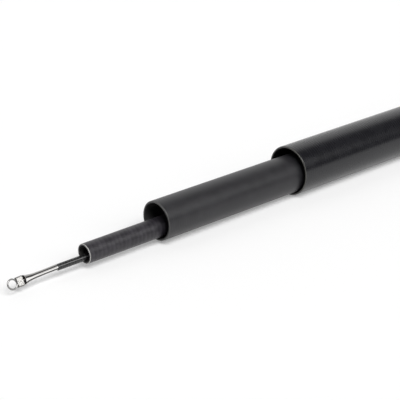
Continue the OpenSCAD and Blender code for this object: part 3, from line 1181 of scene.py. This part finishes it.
@dataclass
class SwivelFitting:
    """The tip fitting: a sleeve with a flared bell, and a swivel of pin, barrel and line ring."""

    bell_length: float = 5.5 * MM
    bell_power: float = 2.5
    waist: float = 0.03 * MM
    waist_overlap: float = 0.3
    side_inset: Sizes = mm(0.12, 0.15)
    side_rows: int = 70
    rear_edges: Sizes = mm(0.0, 0.02, 0.03, 0.08)
    mouth_edges: Sizes = mm(0.08, 0.08, 0.05, 0.05, 0.0)
    bore_from: float = 1 * MM
    bore_near: float = 0.02 * MM
    chamber_near: float = 0.03 * MM
    wall_fade: float = 0.02 * MM
    rim_band: float = 0.3 * MM
    rim_wear: float = 0.3
    seam_turn: float = math.radians(-13.0)
    seam_width: float = 0.48 * MM
    seam_depth: float = 0.05 * MM
    strip_turn: float = math.radians(10.0)
    strip_half: float = math.radians(18.0)
    strip_fade: Span = (0.75, 1.1)
    # Where the painted dark reflection lies, its half width, how dark it is and how much it fades
    # over the bell
    dark_reflection_turn: float = math.radians(39.0)
    dark_reflection_half: float = math.radians(10.0)
    dark_reflection_strength: float = 0.6
    dark_reflection_loss: float = 0.5
    bell_spread: float = math.radians(11.0)
    play: float = 0.01 * MM
    bush_edges: Sizes = mm(0.06, 0.06, 0.06, 0.12)
    pin_edges: Sizes = mm(0.0, 0.06, 0.06, 0.03, 0.06, 0.0)
    pin_head: float = 1.2
    pin_columns: int = 64
    barrel_edge: float = 0.16 * MM
    barrel_bore_edges: Sizes = mm(0.03, 0.04)
    barrel_power: float = 9.0
    barrel_spacing: float = 0.05 * MM
    flat_from: float = 0.9
    end_edge_shade: float = 0.5
    side_edge_shade: Span = (2.2, 1.2)
    crimp_depth: float = 0.12 * MM
    crimp_size: float = 0.17 * MM
    crimp_off: float = 0.3 * MM
    crimps: Sizes = (0.26, 0.52, 0.78)
    ring_rows: int = 160
    wire_columns: int = 40
    ring_gap: float = 0.004 * MM
    columns: int = 96
    spacing: float = 0.5 * MM
    axis: Axis = field(default_factory=fitting_axis)

    def build(self, wardrobe: Wardrobe) -> None:
        """Builds and dresses every piece of the fitting.

        Args:
            wardrobe: where finishes come from.
        """
        wardrobe.dress(self.sleeve(), "tip_sleeve", FITTING_PLATE)
        wardrobe.dress(self.bush(), "swivel_bush", BUSH_BRONZE)
        wardrobe.dress(self.pin(), "swivel_pin", PIN_STEEL)
        wardrobe.dress(self.barrel(), "swivel_barrel", SWIVEL_NICKEL)
        wardrobe.dress(self.ring(), "line_ring", RING_PLATE)

    def sleeve(self) -> bpy.types.Object:
        """Builds the sleeve.

        Its outside radius is the sleeve's, less a shallow waist that follows a squared half sine
        along the straight part, plus the bell's flare times a power of the distance into the bell.
        The sleeve is rolled from sheet: the seam along its side is a groove whose depth falls off
        with the fourth power of the arc from its line. Beside the seam the sheet is flattened:
        the radius there is times cos(half width) / cos(turn from the strip's middle). Over the bell
        the strip widens, and a dark band beside it turns away with it and fades. The flat strip is
        painted pale as a painted highlight, the dark band is a painted dark reflection, and the
        seam and the inside of the bell are painted dark as painted shade.

        Returns:
            The sleeve.
        """
        size = Reach.of_node("tip_sleeve", self.axis, FINE_END)
        bush = Reach.of_node("swivel_bush", self.axis)
        along, radius = self.axis.measure("tip_sleeve")
        spigot, mouth, chamber = size.front_inner, size.rear_inner, bush.front_outer + self.play
        in_bore = (np.abs(radius - spigot) < self.bore_near) & (along > self.bore_from)
        bore_end = along[in_bore].max()
        in_chamber = (np.abs(radius - chamber) < self.chamber_near) & (along > bore_end)
        floor = along[in_chamber].min()
        straight = size.rear - self.bell_length
        side = np.linspace(self.side_inset[0], size.rear - self.side_inset[1], self.side_rows)
        flare = np.clip((side - straight) / self.bell_length, 0, 1) ** self.bell_power
        waist_end = straight + self.waist_overlap * self.bell_length
        dip = np.sin(math.pi * np.clip(side / waist_end, 0, 1)) ** 2
        slim, flared = size.front_outer, size.rear_outer
        outside = slim + (flared - slim) * flare - self.waist * dip
        profile = Profile.of(np.concatenate([
            corners([(bore_end, 0.0), (bore_end, spigot), (0.0, spigot), (0.0, slim)],
                    self.rear_edges),
            corners(np.column_stack([side, outside]), np.zeros(self.side_rows)),
            corners([(size.rear, flared), (size.rear, mouth), (bush.rear, chamber),
                     (floor, chamber), (floor, 0.0)], self.mouth_edges),
        ]), False, self.spacing)
        at, out = profile.at, profile.out
        walls = [(spigot + slim) / 2, (chamber + slim) / 2, (chamber + mouth) / 2,
                 (mouth + flared) / 2]
        wall = np.interp(at, [bore_end, floor, bush.rear, size.rear], walls)
        outer = smooth(out - wall, -self.wall_fade, self.wall_fade)
        # The inside of the bell, painted dark as painted shade
        cavity = (1.0 - outer) * (at > floor - NEAR_END)
        turn, bell = angles(2 * self.columns), smooth(at, straight, size.rear)
        spread = self.bell_spread * bell
        half = self.strip_half + spread
        seam_off, strip_off, dark_reflection_off = (np.abs(off_line(turn - line, TURN)) for line in (
            self.seam_turn, self.strip_turn, self.dark_reflection_turn + spread))
        # The seam's groove is real; its dark colour is painted shade
        seam = np.exp(-((2.0 * out * seam_off / self.seam_width) ** 4)) * outer
        flat = 1.0 - np.cos(half) / np.cos(np.minimum(strip_off, half))
        # The flat strip's pale colour is a painted highlight
        strip = (1.0 - smooth(strip_off / half, *self.strip_fade)) * outer
        # A painted dark reflection beside the strip, with no groove under it
        painted_dark_reflection = np.exp(-((dark_reflection_off / self.dark_reflection_half) ** 2)) * outer
        painted_dark_reflection = painted_dark_reflection * (self.dark_reflection_strength - self.dark_reflection_loss * bell)
        rim = self.rim_wear * smooth(at, size.rear - self.rim_band, size.rear)
        grid = self.axis.place(at, out * (1.0 - flat * outer) - self.seam_depth * seam, turn)
        return skin("bell_sleeve", grid, False, profile.poles(self.axis), {
            Mask.EDGE: rim, Mask.RIM_AND_PAINTED_HIGHLIGHT: strip, Mask.BORE_AND_PAINTED_SHADE: np.maximum(cavity, np.maximum(seam, painted_dark_reflection))})

    def bush(self) -> bpy.types.Object:
        """Builds the bush: a short thick ring turned about the axis.

        Returns:
            The bush.
        """
        size = Reach.of_node("swivel_bush", self.axis)
        return turned("bell_bush", self.axis, size.ring(self.bush_edges), True, self.columns,
                      self.spacing)

    def pin(self) -> bpy.types.Object:
        """Builds the pin: head and shank turned about the axis.

        Returns:
            The pin.
        """
        size = Reach.of_node("swivel_pin", self.axis, FINE_END)
        front, rear, wide, slim = size.front, size.rear, size.front_outer, size.rear_outer
        along, radius = self.axis.measure("swivel_pin")
        head = along[radius > self.pin_head * slim].max()
        outline = corners([(front, 0.0), (front, wide), (head, wide), (head, slim), (rear, slim),
                           (rear, 0.0)], self.pin_edges)
        return turned("headed_pin", self.axis, outline, False, self.pin_columns, self.spacing)

    def barrel(self) -> bpy.types.Object:
        """Builds the flattened barrel.

        Its section is a superellipse of power p: a sign(cos) |cos|^(2 / p) across the axis and b
        sign(sin) |sin|^(2 / p) along the ring's normal, with a half the width and b half the
        thickness. Rows carry it along the axis and draw it in at the rounded ends, and the rear end
        closes on the pin's round bore. Each flat is lowered by round crimps, each a bell curve of
        the distance from its middle.

        Returns:
            The barrel.
        """
        size = Reach.of_node("swivel_barrel", self.axis, FINE_END)
        facing = np.asarray(mount("line_ring_eye")["axis"], float)
        across = np.cross(facing, self.axis.along)
        points = node_points("swivel_barrel") - self.axis.origin
        wide, thick = np.abs(points @ across).max(), np.abs(points @ facing).max()
        bore, edge = size.front_inner, self.barrel_edge
        bore_end = Reach.of_node("swivel_pin", self.axis, FINE_END).rear + self.play
        outline = corners([(bore_end, 0.0), (bore_end, bore), (size.front, bore),
                           (size.front, wide), (size.rear, wide), (size.rear, 0.0)],
                          (0.0, *self.barrel_bore_edges, edge, edge, 0.0))
        profile = Profile.of(outline, False, self.barrel_spacing)
        at, out = profile.at, profile.out
        turn = angles(2 * self.columns)
        cosine, sine = np.cos(turn), np.sin(turn)
        inset = np.clip(wide - out, 0.0, edge)
        share = np.clip((out - bore) / (wide - edge - bore), 0.0, 1.0)
        round_part = (1.0 - share) * np.minimum(out, bore)
        power = 2.0 / self.barrel_power
        wide_way, thick_way = (
            share * (half - inset) * np.sign(wave) * np.abs(wave) ** power + round_part * wave
            for half, wave in ((wide, cosine), (thick, sine)))
        crimp = np.zeros_like(thick_way)
        for place in self.crimps:
            away = (at - size.front - place * size.length) ** 2 + (wide_way - self.crimp_off) ** 2
            crimp = crimp + self.crimp_depth * np.exp(-away / self.crimp_size ** 2)
        on_flat = smooth(np.abs(thick_way), self.flat_from * thick, thick) * share
        thick_way = thick_way - np.sign(sine) * crimp * on_flat
        grid = (self.axis.origin + at[..., None] * self.axis.along
                + wide_way[..., None] * across + thick_way[..., None] * facing)
        # The barrel's ends and sides get its dark rubbed colour: painted shade
        ends = smooth(inset, 0.0, self.end_edge_shade * edge) * share
        sides = smooth(np.abs(wide_way), *(wide - part * edge for part in self.side_edge_shade)) * share
        return skin("flattened_barrel", grid, False, profile.poles(self.axis),
                    {Mask.EDGE: np.maximum(ends, sides)})

    def ring(self) -> bpy.types.Object:
        """Builds the line ring.

        It is a circle of wire carried round a circle whose plane holds the axis: a point is the
        ring's centre plus (ring radius + wire radius * cos) along the spoke plus wire radius * sin
        along the ring's normal. The inside is cut to a flat land, and the rear is cut flush with
        the barrel.

        Returns:
            The ring.
        """
        eye = mount("line_ring_eye")
        centre, normal = np.asarray(eye["pos_m"], float), np.asarray(eye["axis"], float)
        points = node_points("line_ring") - centre
        wire = np.abs(points @ normal).max()
        outer = np.linalg.norm(points - (points @ normal)[:, None] * normal, axis=1).max()
        way, section = angles(self.ring_rows).T, angles(self.wire_columns)
        spoke = (np.cos(way)[..., None] * self.axis.along
                 + np.sin(way)[..., None] * np.cross(self.axis.along, normal))
        out = np.maximum(outer - wire + wire * np.cos(section), eye["dims"]["r_mm"] * MM)
        grid = centre + out[..., None] * spoke + (wire * np.sin(section))[..., None] * normal
        face = Reach.of_node("swivel_barrel", self.axis).rear + self.ring_gap
        ahead = (grid - self.axis.origin) @ self.axis.along
        grid = grid + np.maximum(face - ahead, 0.0)[..., None] * self.axis.along
        return skin("line_ring_wire", grid, True)


def butt_axis() -> Axis:
    """The axis of the butt tube, pointing to the butt, from the hand hold."""
    hold = mount("grip_hold")
    return Axis.on(hold["pos_m"], hold["axis"])


@dataclass
class Grip:
    """The rubber grip with its diamond relief, and the trim ring in front of it."""

    diamonds_round: int = 16
    diamonds_along: int = 48
    relief: float = 0.28 * MM
    groove: float = 0.16
    plain_end: float = 3 * MM
    side_inset: float = 0.8 * MM
    side_band: float = 0.05 * MM
    edges: Sizes = mm(0.05, 0.4, 0.2, 0.05)
    columns: int = 192
    rows: int = 470
    spacing: float = 25 * MM
    trim_groove: float = 1.0 * MM
    trim_depth: float = 0.12 * MM
    trim_shoulder: float = 0.2 * MM
    trim_land: float = 1.4 * MM
    trim_edges: Sizes = mm(0.03, 0.12, 0.05, 0.04, 0.04, 0.05, 0.1, 0.05, 0.03)
    trim_wear: float = 0.3 * MM
    trim_spacing: float = 1 * MM
    axis: Axis = field(default_factory=butt_axis)

    def build(self, wardrobe: Wardrobe) -> None:
        """Builds and dresses the grip and its trim ring."""
        wardrobe.dress(self.sleeve(), "grip_sleeve", GRIP_RUBBER)
        wardrobe.dress(self.trim(), "grip_front_ring", TRIM_ANODISED)

    def sleeve(self) -> bpy.types.Object:
        """Builds the rubber sleeve.

        Its outside is a cylinder cut by two crossing sets of spiral grooves. With s the distance
        along the grip in diamonds and t the turn times the number of diamonds, a groove lies where
        s + t or s - t is whole, and its depth falls off as a bell curve beside that.

        Returns:
            The sleeve.
        """
        size = Reach.of_node("grip_sleeve", self.axis)
        outer = size.front_outer
        start, end = size.front + self.side_inset, size.rear - self.side_inset
        side = np.column_stack([np.linspace(start, end, self.rows), np.full(self.rows, outer)])
        profile = Profile.of(np.concatenate([
            corners([(size.front, size.front_inner), (size.front, outer)], self.edges[:2]),
            corners(side, np.zeros(self.rows)),
            corners([(size.rear, outer), (size.rear, size.rear_inner)], self.edges[2:]),
        ]), True, self.spacing)
        at, out = profile.at, profile.out
        turn = angles(self.columns)
        step = self.diamonds_along * (at - start) / (end - start)
        share = self.diamonds_round * turn / TURN
        off = np.minimum(np.abs(off_line(step + share, 1.0)), np.abs(off_line(step - share, 1.0)))
        middle = between(at, (start, start + self.plain_end), (end - self.plain_end, end))
        outside = smooth(out, outer - self.side_band, outer)
        cut = np.exp(-((off / self.groove) ** 2)) * middle * outside
        return skin("diamond_grip", self.axis.place(at, out - self.relief * cut, turn), True,
                    masks={Mask.CREST: (1.0 - cut) * outside})

    def trim(self) -> bpy.types.Object:
        """Builds the trim ring: a cone with a turned groove, carried round the axis.

        Returns:
            The trim ring.
        """
        size = Reach.of_node("grip_front_ring", self.axis, FINE_END)
        shoulder = size.rear - self.trim_shoulder
        slope = (size.rear_outer - size.front_outer) / (shoulder - size.front)
        cut_end = shoulder - self.trim_land
        cut_start = cut_end - self.trim_groove
        before, after = (size.front_outer + slope * (cut - size.front)
                         for cut in (cut_start, cut_end))
        depth = self.trim_depth
        outline = corners([
            (size.front, size.front_inner), (size.front, size.front_outer), (cut_start, before),
            (cut_start, before - depth), (cut_end, after - depth), (cut_end, after),
            (shoulder, size.rear_outer), (size.rear, size.rear_outer), (size.rear, size.rear_inner),
        ], self.trim_edges)

        def edge(along: np.ndarray, radius: np.ndarray) -> np.ndarray:
            """One at the front lip and the rear shoulder."""
            return np.maximum(1 - smooth(along, size.front, size.front + self.trim_wear),
                              smooth(along, shoulder - self.trim_wear, shoulder))

        return turned("grip_trim", self.axis, outline, True, self.columns, self.trim_spacing,
                      {Mask.EDGE: edge})


def thread_lead() -> float:
    """Travel of the cap in one turn, from the ranges of its two joints."""
    turns = joint("cap_screw")["range_deg"][1] / 360.0
    return joint("cap_travel")["range_m"][1] / turns


# Where a thread's flank starts and ends, in halves of a lead
FLANK = (0.25, 0.75)


def thread_cut(along: np.ndarray, turn: np.ndarray, lead: float) -> np.ndarray:
    """A screw thread's depth from 0 to 1: a rounded saw of the distance in leads less the turn."""
    off = np.abs((along / lead - turn / TURN) % 1.0 - 0.5) * 2.0
    return smooth(off, *FLANK)


@dataclass
class ButtCap:
    """The screw cap with its seal, bumper pad and foot ring, and the collar that it screws into."""

    flutes: int = 24
    flute_radius: float = 0.9 * MM
    flute_length: float = 9 * MM
    flute_run_out: float = 1 * MM
    slot_length: float = 11 * MM
    slot_width: float = 2.2 * MM
    slot_chamfer: float = 0.16 * MM
    slot_face: Sizes = (0.5 / 0.95, 0.85 / 0.95, 1.0)
    slot_depths: Sizes = mm(0.02, 0.10, 0.20, 1.5, 2.95, 3.0, 3.0)
    slot_widening: Sizes = mm(0.13, 0.05, 0.0, 0.0, 0.0, 0.0, 0.0)
    slot_shares: Sizes = (1.0, 1.0, 1.0, 1.0, 1.0, 0.8, 0.4)
    thread_depth: float = 0.25 * MM
    thread_turns: float = 3.0
    thread_start: Sizes = mm(0.4, 1.4)
    thread_stop: Sizes = mm(2.0, 1.0)
    crest_band: float = 0.05 * MM
    seal_play: float = 0.04 * MM
    foot_play: float = 0.01 * MM
    face_share: float = 0.8
    head_margin: float = 0.5 * MM
    head_band: float = 0.06 * MM
    cap_edges: Sizes = mm(0.0, 0.2, 0.05, 0.05, 0.05, 0.1, 0.1, 0.05, 0.05, 0.25, 0.35, 0.05, 0.05,
                          0.05, 0.15, 0.0, 0.0)
    cap_wear: Sizes = mm(0.7, 0.3, 0.1)
    cap_spacing: float = 0.3 * MM
    collar_edges: Sizes = mm(0.15, 0.2, 0.05, 0.15, 0.2, 0.15)
    collar_start: Sizes = mm(1.0, 2.0)
    collar_stop: Sizes = mm(4.0, 3.0)
    collar_bore: Sizes = mm(0.001, 0.01)
    collar_wear: Sizes = mm(0.25, 0.1, 0.06)
    collar_spacing: float = 0.2 * MM
    pad_edges: Sizes = mm(0.0, 0.6, 0.1, 0.0)
    pad_wear: float = 0.6 * MM
    pad_spacing: float = 0.5 * MM
    foot_edges: Sizes = mm(0.05, 0.05, 0.3, 0.3)
    foot_wear: float = 0.25 * MM
    foot_spacing: float = 0.3 * MM
    columns: int = 360
    ring_columns: int = 192
    pad_columns: int = 96
    cord_rows: int = 32
    axis: Axis = field(default_factory=butt_axis)
    lead: float = field(default_factory=thread_lead)

    def build(self, wardrobe: Wardrobe) -> None:
        """Builds and dresses every piece of the cap.

        Args:
            wardrobe: where finishes come from.
        """
        wardrobe.dress(self.collar(), "butt_collar", TRIM_ANODISED)
        wardrobe.dress(self.seal(), "cap_seal_ring", SEAL_RUBBER)
        wardrobe.dress(self.cap(), "butt_cap", CAP_ANODISED)
        wardrobe.dress(self.pad(), "cap_bumper_pad", PAD_RUBBER)
        wardrobe.dress(self.foot(), "cap_foot_ring", SEAL_RUBBER)

    def collar(self) -> bpy.types.Object:
        """Builds the collar: a flanged outline turned about the axis, with a thread cut inside.

        Returns:
            The collar.
        """
        size = Reach.of_node("butt_collar", self.axis, FINE_END)
        tube_end = Reach.of_node("butt_blank", self.axis).rear
        front, rear = size.front, size.rear
        bore, body, flange = size.front_inner, size.front_outer, size.rear_outer
        outline = corners([(front, bore), (front, body), (tube_end, body), (tube_end, flange),
                           (rear, flange), (rear, bore)], self.collar_edges)
        profile = Profile.of(outline, True, self.collar_spacing)
        at, out = profile.at, profile.out
        turn = angles(self.columns // 2)
        inside = 1.0 - smooth(out, *(bore + part for part in self.collar_bore))
        clear = between(at, tuple(front + part for part in self.collar_start),
                        tuple(rear - part for part in self.collar_stop))
        cut = thread_cut(at, turn, self.lead) * inside * clear * self.thread_depth
        low, full, high = (flange - part for part in self.collar_wear)
        return skin("threaded_collar", self.axis.place(at, out + cut, turn), True,
                    masks={Mask.EDGE: between(out, (low, full), (high, flange))})

    def cord(self) -> Tuple[float, float, float]:
        """Measures the sealing ring.

        Returns:
            Its place along the axis, its mean radius and the radius of its cord.
        """
        along, radius = self.axis.measure("cap_seal_ring")
        low, high = radius.min(), radius.max()
        return (along.max() + along.min()) / 2, (high + low) / 2, (high - low) / 2

    def seal(self) -> bpy.types.Object:
        """Builds the sealing ring: a circle of cord carried round the axis.

        Returns:
            The sealing ring.
        """
        place, mean, cord = self.cord()
        section, turn = angles(self.cord_rows).T, angles(self.ring_columns)
        grid = self.axis.place(place - cord * np.cos(section), mean + cord * np.sin(section), turn)
        return skin("seal_cord", grid, True)

    def cap(self) -> bpy.types.Object:
        """Builds the cap as one surface from the plug's front to the floor of the coin slot.

        The plug and the head are an outline turned about the axis. The plug's radius is lowered by
        the thread. The head's radius at a flute is the near side of the flute's circle, c cos(d) -
        sqrt(f^2 - c^2 sin^2(d)), with c the circle's distance from the axis, f its radius and d the
        turn from its middle, and the flute runs out at its ends. The end face closes on the slot,
        whose rim is a stadium given by its distance from the middle in each direction.

        Returns:
            The cap.
        """
        along, radius = self.axis.measure("butt_cap")
        front, rear, outer = along.min(), along.max(), radius.max()
        head = Reach.of_node("butt_collar", self.axis).rear
        plug = radius[along < head - self.head_margin].max()
        pad = Reach.of_node("cap_bumper_pad", self.axis).rear_outer
        foot = Reach.of_node("cap_foot_ring", self.axis)
        wide, narrow = foot.front_outer + self.foot_play, foot.front_inner - self.foot_play
        face = self.face_share * foot.front_inner
        seal, mean, cord = self.cord()
        groove = mean - cord - self.seal_play
        seal_front, seal_rear = seal - cord - self.seal_play, seal + cord + self.seal_play
        lead_in = seal - self.thread_turns * self.lead
        outline = corners([
            (front, 0.0), (front, pad), (lead_in, pad), (lead_in + self.thread_depth, plug),
            (seal_front, plug), (seal_front, groove), (seal_rear, groove), (seal_rear, plug),
            (head, plug), (head, outer), (rear, outer), (rear, wide), (foot.front, wide),
            (foot.front, narrow), (rear, narrow), (rear, face), (rear, 0.0),
        ], self.cap_edges)
        profile = Profile.of(outline, False, self.cap_spacing)
        at, out = profile.at, profile.out
        turn = angles(self.columns)
        thread = between(at, tuple(lead_in + part for part in self.thread_start),
                         tuple(seal_front - part for part in self.thread_stop))
        on_plug = smooth(out, plug - self.crest_band, plug) * (at < head - self.head_margin)
        out = out - self.thread_depth * thread_cut(at, turn, self.lead) * thread * on_plug
        middle = outer + self.flute_radius / 2
        off = off_line(turn, TURN / self.flutes)
        root = np.sqrt(np.maximum(self.flute_radius ** 2 - (middle * np.sin(off)) ** 2, 0.0))
        scoop = np.where(root > 0, outer - (middle * np.cos(off) - root), 0.0)
        begin = (head + rear - self.flute_length) / 2
        end = begin + self.flute_length
        run_out = between(at, (begin, begin + self.flute_run_out), (end - self.flute_run_out, end))
        side = smooth(out, outer - self.head_band, outer) * (at > head)
        out = out - np.maximum(scoop, 0.0) * run_out * side
        slot_at, slot_out = self.slot_rows(rear, face, turn)
        at, out = np.concatenate([at, slot_at]), np.concatenate([out, slot_out])
        low, full, near = self.cap_wear
        edge = smooth(out, outer - low, outer - full) * (at > head)
        edge = edge * smooth(np.minimum(at - head, rear - at), low, near)
        poles = (self.axis.at(front), self.axis.at(rear - self.slot_depths[-1]))
        return skin("fluted_cap", self.axis.place(at, out, turn), False, poles, {Mask.EDGE: edge})

    def slot_rows(self, rear: float, start: float,
                  turn: np.ndarray) -> Tuple[np.ndarray, np.ndarray]:
        """Works out the rows from a circle on the end face down to the floor of the coin slot.

        The stadium's distance from the middle is w / |sin| on its straight sides and a |cos| +
        sqrt(w^2 - a^2 sin^2) on its round ends, with w half its width and a half the distance
        between the ends' centres.

        Args:
            rear: the end face's distance along the axis.
            start: the circle's radius.
            turn: the columns' turns.

        Returns:
            The rows' distances along the axis and their distances from it.
        """
        half = self.slot_width / 2
        reach = self.slot_length / 2 - half
        cosine, sine = np.abs(np.cos(turn)), np.maximum(np.abs(np.sin(turn)), TINY)
        straight = half / sine
        end = reach * cosine + np.sqrt(np.maximum(half ** 2 - (reach * sine) ** 2, 0.0))
        rim = np.where(straight * cosine <= reach, straight, end)
        on_face, depth, widening, share = (np.array(column)[:, None] for column in (
            self.slot_face, self.slot_depths, self.slot_widening, self.slot_shares))
        face = start + (rim + self.slot_chamfer - start) * on_face
        down = np.concatenate([0.0 * on_face, depth])
        return rear - down, np.concatenate([face, (rim + widening) * share])

    def pad(self) -> bpy.types.Object:
        """Builds the bumper pad: a disc with rounded edges turned about the axis.

        Returns:
            The pad.
        """
        size = Reach.of_node("cap_bumper_pad", self.axis)
        front, rear, outer = size.front, size.rear, size.front_outer
        outline = corners([(front, 0.0), (front, outer), (rear, outer), (rear, 0.0)],
                          self.pad_edges)

        def crest(along: np.ndarray, radius: np.ndarray) -> np.ndarray:
            """One on the face that the tubes knock on."""
            return 1.0 - smooth(along, front, front + self.pad_wear)

        return turned("bumper_pad", self.axis, outline, False, self.pad_columns, self.pad_spacing,
                      {Mask.CREST: crest})

    def foot(self) -> bpy.types.Object:
        """Builds the foot ring: a square-sided rubber ring turned about the axis.

        Returns:
            The foot ring.
        """
        size = Reach.of_node("cap_foot_ring", self.axis)

        def crest(along: np.ndarray, radius: np.ndarray) -> np.ndarray:
            """One on the face that stands on the floor."""
            return smooth(along, size.rear - self.foot_wear, size.rear)

        return turned("foot_ring", self.axis, size.ring(self.foot_edges), True, self.ring_columns,
                      self.foot_spacing, {Mask.CREST: crest})


# Studio


@dataclass(frozen=True)
class KeyLight:
    """A soft lamp on the camera's side of the pole."""

    name: str
    strength: float
    angle: float
    height: float
    swing: float

    def build(self) -> None:
        """Hangs the lamp at its height, swung from the side towards the butt."""
        data = bpy.data.lights.new(self.name, "SUN")
        data.energy, data.angle = self.strength, self.angle
        lamp = bpy.data.objects.new(self.name, data)
        lamp.rotation_euler = (math.pi / 2 - self.height, 0.0, self.swing)
        bpy.context.scene.collection.objects.link(lamp)


@dataclass
class Studio:
    """The camera, the pale floor and the soft light."""

    camera_from_mouth: Tuple[float, float, float] = (-0.28558, -0.27260, 0.16445)
    azimuth: float = math.radians(-41.795)
    elevation: float = math.radians(22.959)
    lens: float = 107.04
    sensor: float = 36.0
    clip: Span = (0.01, 100.0)
    floor_size: float = 60.0
    floor_colour: Colour = (0.74, 0.74, 0.74)
    floor_roughness: float = 0.9
    floor_gloss: float = 0.1
    floor_glow: float = 0.255
    keys: Tuple[KeyLight, ...] = (
        KeyLight(name="key", strength=2.55, angle=math.radians(38.0),
                 height=math.radians(55.0), swing=math.radians(-12.0)),
        KeyLight(name="low_key", strength=0.66, angle=math.radians(36.0),
                 height=math.radians(32.0), swing=math.radians(25.0)),
    )
    white: Colour = (1.0, 1.0, 1.0)
    front_level: float = 0.14
    back_level: float = 0.6
    sweep_start: float = math.radians(84.0)
    sweep_end: float = math.radians(126.0)
    dark_side: float = 0.5
    dark_span: Span = (-0.4, 0.3)

    def build(self) -> None:
        """Builds the camera first, then the floor, the lamps and the world."""
        self.camera()
        self.floor()
        for lamp in self.keys:
            lamp.build()
        self.world()

    def camera(self) -> None:
        """Puts the camera where the photo was taken from, measured from under the biggest mouth."""
        data = bpy.data.cameras.new("camera")
        data.lens, data.sensor_width = self.lens, self.sensor
        data.clip_start, data.clip_end = self.clip
        camera = bpy.data.objects.new("camera", data)
        bpy.context.scene.collection.objects.link(camera)
        turn, lift = self.azimuth, self.elevation
        flat = math.cos(lift)
        back = np.array([math.sin(turn) * flat, -math.cos(turn) * flat, math.sin(lift)])
        right = np.array([math.cos(turn), math.sin(turn), 0.0])
        mouth = np.array([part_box("butt_blank")[0].x, 0.0, 0.0])
        pose = np.eye(4)
        pose[:3, :3] = np.stack([right, np.cross(back, right), back], -1)
        pose[:3, 3] = mouth + np.array(self.camera_from_mouth)
        camera.matrix_world = Matrix(pose.tolist())
        bpy.context.scene.camera = camera

    def floor(self) -> None:
        """Lays the floor: a sheet of pale paper that glows faintly to what looks straight at it."""
        half = self.floor_size / 2
        mesh = bpy.data.meshes.new("floor")
        square = [(-half, -half, 0.0), (half, -half, 0.0), (half, half, 0.0), (-half, half, 0.0)]
        mesh.from_pydata(square, [], [(0, 1, 2, 3)])
        floor = bpy.data.objects.new("floor", mesh)
        bpy.context.scene.collection.objects.link(floor)
        material, sheet, shader = new_material("studio_paper")
        sheet.feed(shader["Base Color"], self.floor_colour)
        sheet.feed(shader["Roughness"], self.floor_roughness)
        sheet.feed(shader["Specular IOR Level"], self.floor_gloss)
        ray = sheet.add("ShaderNodeLightPath").outputs
        seen = sheet.math("MAXIMUM", ray["Is Camera Ray"], ray["Is Glossy Ray"])
        seen = sheet.math("MAXIMUM", seen, ray["Is Transmission Ray"])
        sheet.feed(shader["Emission Color"], self.white)
        sheet.feed(shader["Emission Strength"], sheet.math("MULTIPLY", seen, self.floor_glow))
        mesh.materials.append(material)

    def world(self) -> None:
        """Lights the room: dim on the camera's side, rising to a white sweep behind the pole."""
        world = bpy.data.worlds.new("studio")
        world.use_nodes = True
        bpy.context.scene.world = world
        sheet = NodeSheet(world.node_tree)
        way = sheet.add("ShaderNodeTexCoord").outputs["Generated"]
        across, depth, height = sheet.add("ShaderNodeSeparateXYZ", Vector=way).outputs
        over = sheet.math("ARCTAN2", height, sheet.math("MULTIPLY", depth, -1.0))
        sweep = sheet.ramp(over, self.sweep_start, self.sweep_end)
        room = sheet.ramp(sweep, 0.0, 1.0, self.front_level, self.back_level)
        dimming = sheet.ramp(across, *self.dark_span, self.dark_side, 1.0)
        room = sheet.math("MULTIPLY", room, dimming)
        ray = sheet.add("ShaderNodeLightPath").outputs
        mirror = sheet.math("MAXIMUM", ray["Is Glossy Ray"], ray["Is Transmission Ray"])
        room = sheet.math("MAXIMUM", room, sheet.math("MULTIPLY", mirror, sweep))
        room = sheet.math("MAXIMUM", room, ray["Is Camera Ray"])
        light = sheet.add("ShaderNodeBackground", Color=self.white, Strength=room)
        sheet.add("ShaderNodeOutputWorld", Surface=light.outputs[0])
        bpy.context.scene.view_settings.view_transform = "Standard"


def main() -> None:
    """Builds the studio and then the pole's sections, its tip fitting, its grip and its cap."""
    logging.basicConfig(level=logging.INFO, format="%(name)s: %(message)s")
    Studio().build()
    wardrobe = Wardrobe()
    TubeSection("butt_blank", Slot.BUTT_CARBON, BUTT_LACQUER, rim_share=0.85).build(wardrobe)
    TubeSection("middle_blank", Slot.MIDDLE_CARBON, MIDDLE_SATIN).build(wardrobe)
    TubeSection("upper_blank", Slot.UPPER_CARBON, UPPER_SATIN, rim_share=0.44).build(wardrobe)
    SolidTip().build(wardrobe)
    SwivelFitting().build(wardrobe)
    Grip().build(wardrobe)
    ButtCap().build(wardrobe)


if __name__ == "__main__":
    main()
